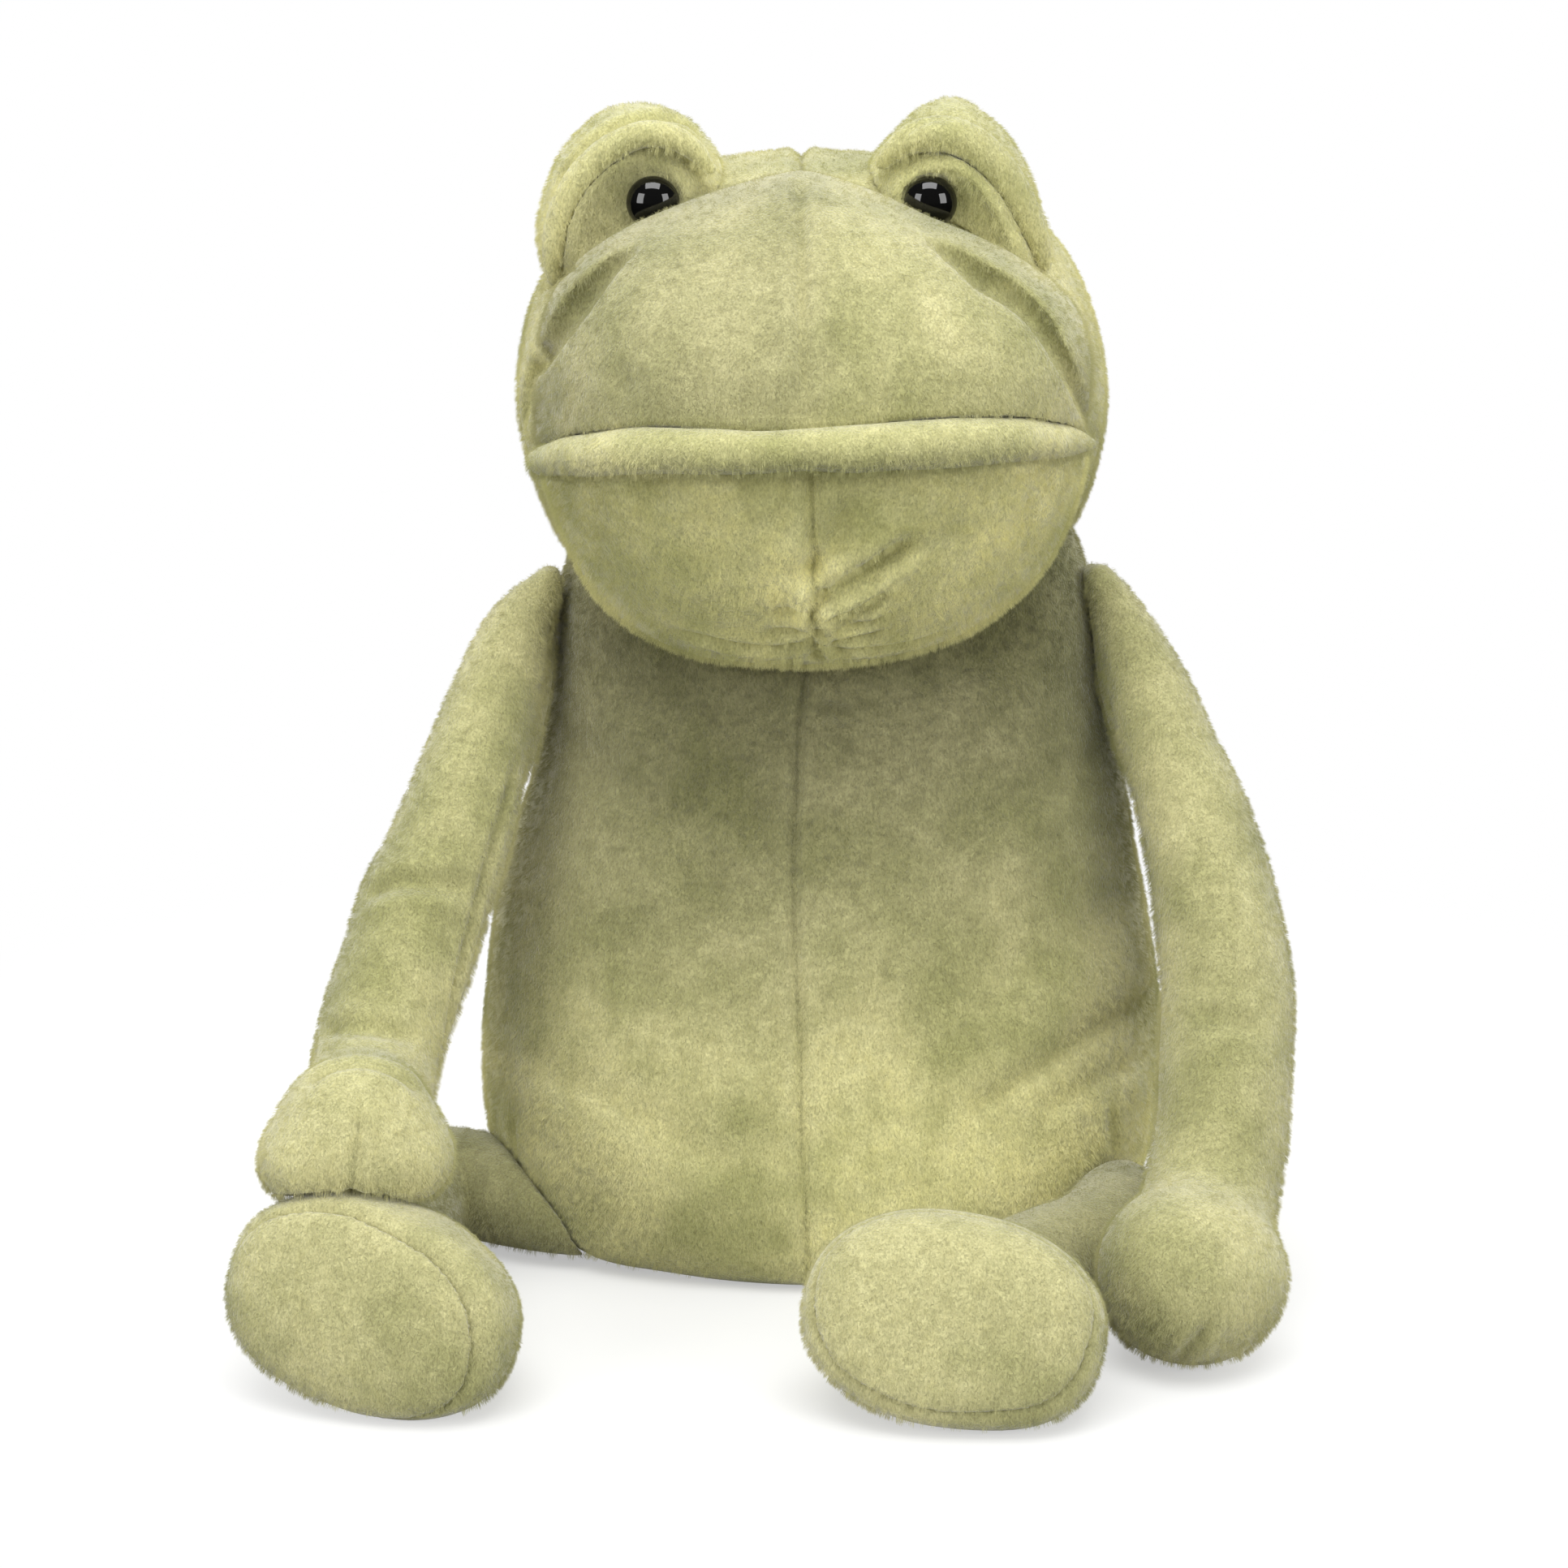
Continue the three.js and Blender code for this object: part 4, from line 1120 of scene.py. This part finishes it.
def plush(name, strand):
    """Short pile: patches where the pile lies one way or the other, over fine tufts.

    The object's colour says how light a piece is painted: red its tone, partly for how its pile lies and
    partly painted light and shade, green how much painted shade darkens it towards the chin, with painted
    light low on the body, blue how much painted shade lies inside the eye sockets, alpha how much painted
    light lightens the frog's left half.
    """
    new, tree, shader = material(name, PLUSH)
    place = spots(tree)
    along = add(tree, "Mapping", {"Vector": place, "Scale": (1, 1, 0.55)})["Vector"]
    patches = times_plus(tree, noise(tree, place, EDGES, 1.0), 0.35, noise(tree, place, PATCHES, 2.0))
    fine = noise(tree, along, TUFTS, 1.5, 0.6, 0.6)
    swirls = noise(tree, along, SWIRLS, 1.0)
    colour = ramp(tree, patches, 0.5, DEEP_PILE, 0.82, LIGHT_PILE)
    colour = mixed(tree, colour, ramp(tree, fine, 0.3, (0.70, 0.70, 0.67), 0.7, (1.13, 1.13, 1.13)))
    colour = mixed(tree, colour, ramp(tree, swirls, 0.3, (0.91, 0.91, 0.89), 0.7, (1.05, 1.05, 1.05)))
    # Each piece's tone and its painted light and shade, read from the object's colour
    known = add(tree, "ObjectInfo")
    tone_and_painted_light = add(tree, "SeparateColor", {0: known["Color"]})
    spot = add(tree, "SeparateXYZ", {0: place})
    # Painted shade on the front of the body towards the chin, and painted light low on the belly
    front = times(tree, ranged(tree, spot["Y"], 0.02, -0.03), tone_and_painted_light[1])
    painted_chin_shade = times_plus(tree, ranged(tree, spot["Z"], 0.0, 0.16, 0.34, -0.52), front, 1.0)
    # Painted light on the frog's left half
    painted_side_light = times_plus(tree, ranged(tree, spot["X"], -0.010, 0.012), known["Alpha"], 1.0)
    # Painted shade inside the eye sockets, under the hoods
    socket_shade_mask = times(tree, ranged(tree, spot["Y"], -0.024, -0.029), tone_and_painted_light[2])
    painted_socket_shade = ranged(tree, socket_shade_mask, 0.0, 1.0, 1.0, 0.75)
    colour = mixed(tree, colour, times(tree, times(tree, painted_chin_shade, painted_side_light), times(tree, painted_socket_shade, tone_and_painted_light[0])))
    if strand:
        lit_through = times(tree, add(tree, "LightPath")["Is Shadow Ray"], 0.8)
        clear = add(tree, "BsdfTransparent")[0]
        surface(tree, shared(tree, lit_through, shader.outputs[0], clear))
    else:
        seam = add(tree, "Attribute", attribute_name="seam")["Fac"]
        colour = mixed(tree, colour, ranged(tree, seam, 0.2, 0.8, 0.72, 1.0, "LINEAR"))
        bumped(tree, shader, fine, 0.7, 0.0007)
    fill(tree, shader, {"Base Color": colour})
    return new


def eye_plastic():
    look = {"Roughness": 0.04, "IOR": 1.52, "Coat Weight": 0.2, "Coat Roughness": 0.03}
    new, tree, shader = material("eye_plastic", {"Base Color": (0.004, 0.004, 0.004, 1), **look})
    bumped(tree, shader, noise(tree, spots(tree), 300.0, 2.0), 0.02, 0.0002)
    return new


def washer_plastic():
    new, tree, shader = material("washer_plastic", {"Roughness": 0.5})
    mottle = noise(tree, spots(tree), 400.0, 3.0)
    fill(tree, shader, {"Base Color": ramp(tree, mottle, 0.3, (0.70, 0.70, 0.67), 0.7, (0.76, 0.76, 0.73))})
    return new


def bean_cloth():
    new, tree, shader = material("bean_cloth", {"Roughness": 0.85})
    weave = add(tree, "TexWave", {"Vector": spots(tree), "Scale": 300.0})["Fac"]
    fill(tree, shader, {"Base Color": ramp(tree, weave, 0.2, (0.70, 0.68, 0.60), 0.8, (0.82, 0.80, 0.73))})
    return new


CLOTH, PILE, CALICO = plush("plush", False), plush("plush_pile", True), bean_cloth()
BLACK, WHITE = eye_plastic(), washer_plastic()

# Pieces into the frame, each on the body of its node
BODIES = frame["record"]["behaviour"]["bodies"]
BODY_OF = {node: body for body, nodes in BODIES.items() for node in nodes}
# Limbs kept off the bodies, with their place applied to their points; each would bend from the body into its
# own body of the same name, between the two points given
BLENDS = {
    "arm_right": ((-0.0617, -0.0119, 0.162), (-0.0660, -0.0165, 0.152)),
    "arm_left": ((0.0647, -0.0119, 0.162), (0.0690, -0.0165, 0.152)),
    "leg_right": ((-0.066, -0.030, 0.013), (-0.066, -0.060, 0.013)),
    "leg_left": ((0.064, -0.036, 0.009), (0.064, -0.066, 0.009)),
}


def placed(name, points, faces, finish):
    """An object from points in millimetres and faces, smooth and in its finish."""
    mesh = bpy.data.meshes.new(name)
    mesh.from_pydata((np.array(points) * MM).tolist(), [], faces)
    mesh.validate()
    mesh.update()
    mesh.polygons.foreach_set("use_smooth", np.ones(len(mesh.polygons), bool))
    mesh.materials.append(finish)
    thing = bpy.data.objects.new(name, mesh)
    bpy.context.scene.collection.objects.link(thing)
    return thing


def hidden(piece, reach=1.2):
    """For each point of a piece, whether another piece lies right in front of it."""
    covered = np.zeros(len(piece.points), bool)
    for form in made.values():
        if form is piece:
            continue
        low, high = form.points.min(0) - reach, form.points.max(0) + reach
        inside = ((piece.points >= low) & (piece.points <= high)).all(1)
        for i in np.flatnonzero(inside & ~covered):
            start = piece.points[i] + piece.normal[i] * 0.02
            covered[i] = form.met(start, piece.normal[i], reach) is not None
    return covered


# The pile's length in millimetres where it isn't usual, its fibres to a square millimetre before their
# children, and the height up to which a piece is pressed bare by what it stands on
USUAL_PILE = 0.9
PILE_LENGTH = {"mouth_roll": 0.75, "foot": 0.75, "sole": 0.75, "eye_dome": 1.0, "eye_hood": 1.0}
STRANDS = 0.9
BARE_BELOW = 3.8


def grow_pile(thing, piece, covered, length, seed):
    """The pile itself: short seeded fibres that lean a little downward."""
    bare = covered | (piece.points[:, 2] < BARE_BELOW)
    a, b, c, d = (piece.points[piece.faces[:, i]] for i in range(4))
    size = np.linalg.norm(np.cross(c - a, d - b), axis=1) / 2
    area = size[~bare[piece.faces].any(1)].sum()
    group = thing.vertex_groups.new(name="pile")
    group.add(np.flatnonzero(~bare).tolist(), 1.0, "REPLACE")
    system = thing.modifiers.new("pile", "PARTICLE_SYSTEM").particle_system
    system.seed = seed
    system.vertex_group_density = "pile"
    thing.data.materials.append(PILE)
    for key, value in {
        "type": "HAIR",
        "count": max(50, int(area * STRANDS)),
        "use_advanced_hair": True,
        "hair_step": 3,
        "render_step": 2,
        "display_step": 2,
        "emit_from": "FACE",
        "use_even_distribution": True,
        "hair_length": length * MM,
        "object_align_factor": (0, -0.05 * length * MM, -0.17 * length * MM),
        "factor_random": 0.1 * length * MM,
        "child_type": "SIMPLE",
        "rendered_child_count": 7,
        "child_percent": 1,
        "child_radius": 0.0008,
        "child_roundness": 0.5,
        "clump_factor": 0.15,
        "roughness_2": 0.0001,
        "roughness_endpoint": 0.0001,
        "root_radius": 0.055,
        "tip_radius": 0.02,
        "radius_scale": 0.001,
        "material": 2,
    }.items():
        setattr(system.settings, key, value)


# How light each piece is painted, as plush() reads it: red its tone, partly for its pile's lie and partly
# painted light and shade, green painted chin shade, blue painted socket shade, alpha painted light on the
# frog's left half
USUAL_PILE_TONE_AND_PAINTED_LIGHT = (0.74, 0, 0, 0)
PILE_TONE_AND_PAINTED_LIGHT = {
    "torso": (0.74, 1, 0, 0.08), "head": (0.92, 0, 0, 0), "muzzle": (0.64, 0, 0, 0.22),
    "jaw": (1.15, 0, 0, 0), "mouth_roll": (0.93, 0, 0, 0), "eye_dome_right": (0.98, 0, 1, 0),
    "eye_dome_left": (0.98, 0, 0.1, 0), "eye_hood": (0.95, 0, 0, 0), "leg": (0.6, 0, 0, 0),
    "arm_right": (0.79, 0, 0, 0),
}

for number, (name, piece) in enumerate(sorted(made.items()), 1):
    part = name.removesuffix("_right").removesuffix("_left")
    bag = name == "bean_bag"
    finish = CALICO if bag else CLOTH
    thing = placed(name + ("_cloth" if bag else "_plush"), piece.points, piece.faces.tolist(), finish)
    seam = thing.data.attributes.new("seam", "FLOAT", "POINT")
    seam.data.foreach_set("value", piece.seam.astype(np.float32))
    # The object colour carries the piece's tone and its painted light and shade
    thing.color = PILE_TONE_AND_PAINTED_LIGHT.get(name, PILE_TONE_AND_PAINTED_LIGHT.get(part, USUAL_PILE_TONE_AND_PAINTED_LIGHT))
    if name not in ("bean_bag", "base_panel"):
        grow_pile(thing, piece, hidden(piece), PILE_LENGTH.get(part, USUAL_PILE), number)
    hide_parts(name)
    if name in BLENDS:
        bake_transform(thing)
    else:
        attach(thing, BODY_OF[name])


def lathe(name, pairs, side, finish, sides=64):
    """A turned plastic piece on the eye's axis, from radius and height pairs."""
    points = []
    for radius, high in pairs:
        for angle in np.arange(sides) * math.tau / sides:
            across, up = radius * math.cos(angle), radius * math.sin(angle)
            points.append((DOMES[side]["eye"] + across, EYE_BACK - high, EYE_HIGH + up))
    faces = []
    for start in range(0, len(points) - sides, sides):
        for i in range(sides):
            n = (i + 1) % sides
            faces.append((start + i, start + sides + i, start + sides + n, start + n))
    if pairs[0] == pairs[-1]:
        points = points[:-sides]
        faces = [tuple(v % len(points) for v in face) for face in faces]
    else:
        faces += [tuple(range(sides)), tuple(range(len(points) - sides, len(points)))[::-1]]
    return placed(name, points, faces, finish)


# The eye's stem, its rim and its crown, and the washer, in radius and height from the socket's cloth
STEM = [(0.3, -13.0), (0.8, -12.9), (1.35, -12.5), (1.6, -12.0), (1.6, -0.3), (1.75, 0.0)]
RIM = [(5.4, 0.0), (5.7, 0.05), (5.92, 0.25), (6.0, 0.55)]
EYE_RADIUS, CROWN_FROM, CROWN_HIGH = 6.0, 0.9, 4.3
CROWN = [
    (EYE_RADIUS * math.cos(angle), CROWN_FROM + CROWN_HIGH * math.sin(angle))
    for angle in np.linspace(0, math.pi / 2 - 0.02, 22)
]
WASHER = [(1.75, -4.2), (5.45, -4.2), (5.6, -4.05), (5.6, -3.15), (5.45, -3.0), (1.75, -3.0), (1.75, -4.2)]

for side in DOMES:
    for name, profile, finish, slot in (
        ("eye_%s_bead", STEM + RIM + CROWN, BLACK, "eye_plastic"),
        ("eye_washer_%s_disc", WASHER, WHITE, "washer_plastic"),
    ):
        thing = lathe(name % side, profile, side, finish)
        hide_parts(name.rsplit("_", 1)[0] % side)
        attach(thing, "head")

# Floor: away from the object the sweep is evenly white; near the object it glows part way for the camera, a
# painted light that makes the object's shadows on it fainter, and in reflections it is nearly black
floor_white, tree, shader = material("floor", {"Roughness": 0.8, "Specular IOR Level": 0.1})
path = add(tree, "LightPath")
paper = mixed(tree, (0.9, 0.9, 0.89, 1), (0.885, 0.887, 0.88, 1), path["Is Camera Ray"], "MIX")
paper = mixed(tree, paper, (0.02, 0.02, 0.02, 1), path["Is Glossy Ray"], "MIX")
fill(tree, shader, {"Base Color": paper})
away = add(tree, "VectorMath", {0: spots(tree)}, operation="LENGTH")["Value"]
glow = add(tree, "Emission", {"Strength": path["Is Camera Ray"]})[0]
surface(tree, shared(tree, ranged(tree, away, 0.11, 0.3, 0.45, 1.0), shader.outputs[0], glow))
bpy.ops.mesh.primitive_plane_add(size=8, location=(0, 0, 0))
floor = bpy.context.object
floor.name = "floor"
floor.data.materials.append(floor_white)

# Background: white in the picture and nearly dark in reflections. Its light comes more from behind, where
# a white backdrop would be, than from the room in front
world = bpy.data.worlds.new("studio")
bpy.context.scene.world = world
world.use_nodes = True
tree = world.node_tree
tree.nodes.clear()
path = add(tree, "LightPath")
direction = add(tree, "SeparateXYZ", {0: add(tree, "TexCoord")["Generated"]})["Y"]
room = {"Color": (1, 1, 1, 1), "Strength": ranged(tree, direction, -0.3, 0.5, 0.5, 1.4)}
seen = add(tree, "Background", {"Color": (1, 1, 1, 1), "Strength": 1.0})[0]
either = shared(tree, path["Is Camera Ray"], add(tree, "Background", room)[0], seen)
dim = add(tree, "Background", {"Strength": 0.03})[0]
sky = shared(tree, path["Is Glossy Ray"], either, dim)
fill(tree, tree.nodes.new("ShaderNodeOutputWorld"), {"Surface": sky})

# Lights: name, place, target, width, height and power
FRONT_LOW = (0, -0.03, 0.22)
SOFTBOXES = [
    ("key", (-0.05, -0.70, 1.82), (0, -0.03, 0.2), 1.45, 1.0, 24.5),
    ("window_left", (-1.02, -1.05, 0.56), FRONT_LOW, 0.65, 0.8, 7.8),
    ("window_right", (1.02, -1.05, 0.56), FRONT_LOW, 0.65, 0.8, 7.8),
]
for name, place, target, wide, high, power in SOFTBOXES:
    data = bpy.data.lights.new(name, "AREA")
    data.shape = "RECTANGLE"
    data.size, data.size_y, data.energy = wide, high, power
    light = bpy.data.objects.new(name, data)
    light.location = place
    light.rotation_euler = (Vector(target) - Vector(place)).to_track_quat("-Z", "Y").to_euler()
    bpy.context.scene.collection.objects.link(light)

bpy.context.scene.view_settings.view_transform = "Standard"

bpy.context.view_layer.update()
